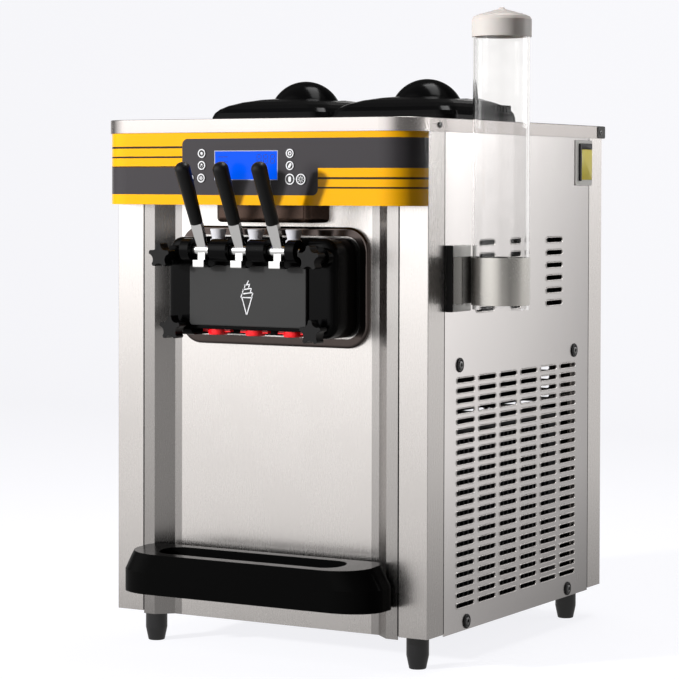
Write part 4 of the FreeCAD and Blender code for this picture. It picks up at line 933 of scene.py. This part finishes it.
# Painted shade: black sheets behind the slots and black blocks round the tanks darken the inside.
shade_sheet("shade_sheet_left", -197, (40, 545), (80, 588))
shade_sheet("shade_sheet_right_high", 161, (40, 545), (340, 588))
shade_sheet("shade_sheet_right_front", 214, (40, 95), (80, 345))
shade_sheet("shade_sheet_right_rear", 214, (439, 545), (80, 345))
shade_block("shade_block_left", (-207, -2), (154, 406), (590, 748), (-199, -13), (170, 390))
shade_block("shade_block_right", (2, 207), (154, 406), (590, 748), (13, 199), (170, 390))
for name, side in (("left", -1), ("right", 1)):
    low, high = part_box("hopper_" + name)
    tube = bmesh.new()
    bottom_z = 626
    turned(
        tube,
        [(6.0, 0), (6.0, 62), (9.5, 64), (9.5, 74), (8.0, 76), (3.0, 76), (3.0, 0)],
        at(side * 70, 200, bottom_z), "Z", ring=True,
    )
    piece("air_tube_" + name, tube, "pale_plastic")
print("foam and air tubes in")

# %% [markdown]
# ## Floor and light
# A plain pale floor runs back and up in one sweep, so that no line shows behind the machine. A key lamp at the left
# front is small enough to throw the grips' shadows on the fascia, and large soft lights fill in from the left, above
# and the rear.

# %% Floor sweep
def floor_sweep():
    mesh = bpy.data.meshes.new("floor_sweep")
    form = bmesh.new()
    profile = [(-9.0, 0.0), (3.0, 0.0)]
    for step in range(1, 13):
        angle = math.pi / 2 * step / 12
        profile.append((3.0 + 2.0 * math.sin(angle), 2.0 - 2.0 * math.cos(angle)))
    profile.append((5.0, 9.0))
    rows = [[form.verts.new((x, y, z)) for x in (-12.0, 12.0)] for y, z in profile]
    for near, far in zip(rows, rows[1:]):
        form.faces.new((near[0], near[1], far[1], far[0]))
    form.to_mesh(mesh)
    form.free()
    floor = bpy.data.objects.new("floor_sweep", mesh)
    for polygon in mesh.polygons:
        polygon.use_smooth = True
    bpy.context.scene.collection.objects.link(floor)
    return floor


def floor_paper():
    """Pale paper. Mirrored in the steel it is a dim studio floor that brightens with height."""
    material = bpy.data.materials.new("floor_paper")
    material.use_nodes = True
    tree = material.node_tree
    shader = tree.nodes["Principled BSDF"]
    ray = add(tree, "ShaderNodeLightPath")
    place = add(tree, "ShaderNodeSeparateXYZ")
    feed(tree, add(tree, "ShaderNodeNewGeometry").outputs["Position"], place.inputs[0])
    left = maths(tree, "MULTIPLY", place.outputs["X"], -0.5)
    front = maths(tree, "MULTIPLY", place.outputs["Y"], -0.866)
    near_key = remap(tree, maths(tree, "ADD", left, front), 0.2, 1.6, 0.36, 0.82)
    rise = remap(tree, place.outputs["Z"], 0.0, 0.7, 0.0, 0.28)
    far = remap(tree, maths(tree, "ADD", left, front), -0.5, -2.6, 0.0, 0.40)
    fall = remap(tree, place.outputs["Z"], 1.6, 2.4, 1.0, 0.06)
    level = maths(tree, "MULTIPLY", maths(tree, "ADD", maths(tree, "ADD", near_key, far), rise), fall)
    mirrored = blend_colour(tree, level, (0, 0, 0, 1), (1, 0.985, 0.975, 1))
    mirrored.node.clamp_factor = False
    feed(tree, blend_colour(tree, ray.outputs["Is Glossy Ray"], paint(0.48, 0.48, 0.48), (0, 0, 0, 1)),
         shader.inputs["Base Color"])
    seen = blend_colour(tree, ray.outputs["Is Camera Ray"], (0, 0, 0, 1), (0.85, 0.85, 0.88, 1.0))
    feed(tree, blend_colour(tree, ray.outputs["Is Glossy Ray"], seen, mirrored), shader.inputs["Emission Color"])
    shader.inputs["Emission Strength"].default_value = 1.0
    shader.inputs["Roughness"].default_value = 1.0
    shader.inputs["Specular IOR Level"].default_value = 0.0
    return material


floor = floor_sweep()
floor.data.materials.append(floor_paper())
print("floor", len(floor.data.vertices), "points")


# %% Lights
def soft_light(name, place, target, width, height, watts):
    data = bpy.data.lights.new(name, "AREA")
    data.shape = "RECTANGLE"
    data.size = width
    data.size_y = height
    data.energy = watts
    light = bpy.data.objects.new(name, data)
    light.location = place
    light.rotation_euler = (Vector(target) - Vector(place)).to_track_quat("-Z", "Y").to_euler()
    bpy.context.scene.collection.objects.link(light)
    return light


key = soft_light("key_front_left", (-2.0, -3.15, 1.2), (0, -0.27, 0.65), 0.22, 0.22, 175)
key.visible_glossy = False
soft_light("fill_front_left", (-2.4, -2.9, 1.9), (0, 0, 0.55), 1.8, 2.0, 18)
soft_light("top_strip", (0.3, 0.4, 2.6), (0, 0, 0.7), 1.6, 0.7, 28)
soft_light("right_rear", (2.6, 2.4, 1.7), (0.2, 0.1, 0.6), 1.4, 1.8, 30)

# %% [markdown]
# The rest of the studio is dim grey walls, brightest in front on the left, so that the gloss black stays black and
# the brushed sheets shade from light to dark. Matt surfaces see less of the walls than mirrors do, which keeps the
# key lamp's shadows deep.

# %% Studio walls
world = bpy.data.worlds.new("studio")
world.use_nodes = True
walls = world.node_tree
backdrop = walls.nodes["Background"]
way = add(walls, "ShaderNodeTexCoord").outputs["Generated"]


def glow(direction, low, high):
    """Brightness that grows as a direction nears the given one."""
    near = add(walls, "ShaderNodeVectorMath", operation="DOT_PRODUCT")
    feed(walls, way, near.inputs[0])
    feed(walls, Vector(direction).normalized(), near.inputs[1])
    return remap(walls, near.outputs["Value"], low, high, 0.0, 1.0)


front_left = glow((-0.5, -0.866, 0.1), 0.5, 0.95)
rear_right = glow((0.5, 0.866, 0.25), 0.5, 0.95)
light = maths(walls, "ADD", maths(walls, "MULTIPLY", front_left, 1.9), maths(walls, "MULTIPLY", rear_right, 0.5))
matt = add(walls, "ShaderNodeLightPath").outputs["Is Diffuse Ray"]
share = remap(walls, matt, 0.0, 1.0, 1.0, 0.2)
feed(walls, maths(walls, "MULTIPLY", maths(walls, "ADD", light, 0.16), share), backdrop.inputs["Strength"])
backdrop.inputs["Color"].default_value = (1.0, 0.99, 0.985, 1.0)
bpy.context.scene.world = world
bpy.context.scene.view_settings.view_transform = "Standard"
print("studio ready")
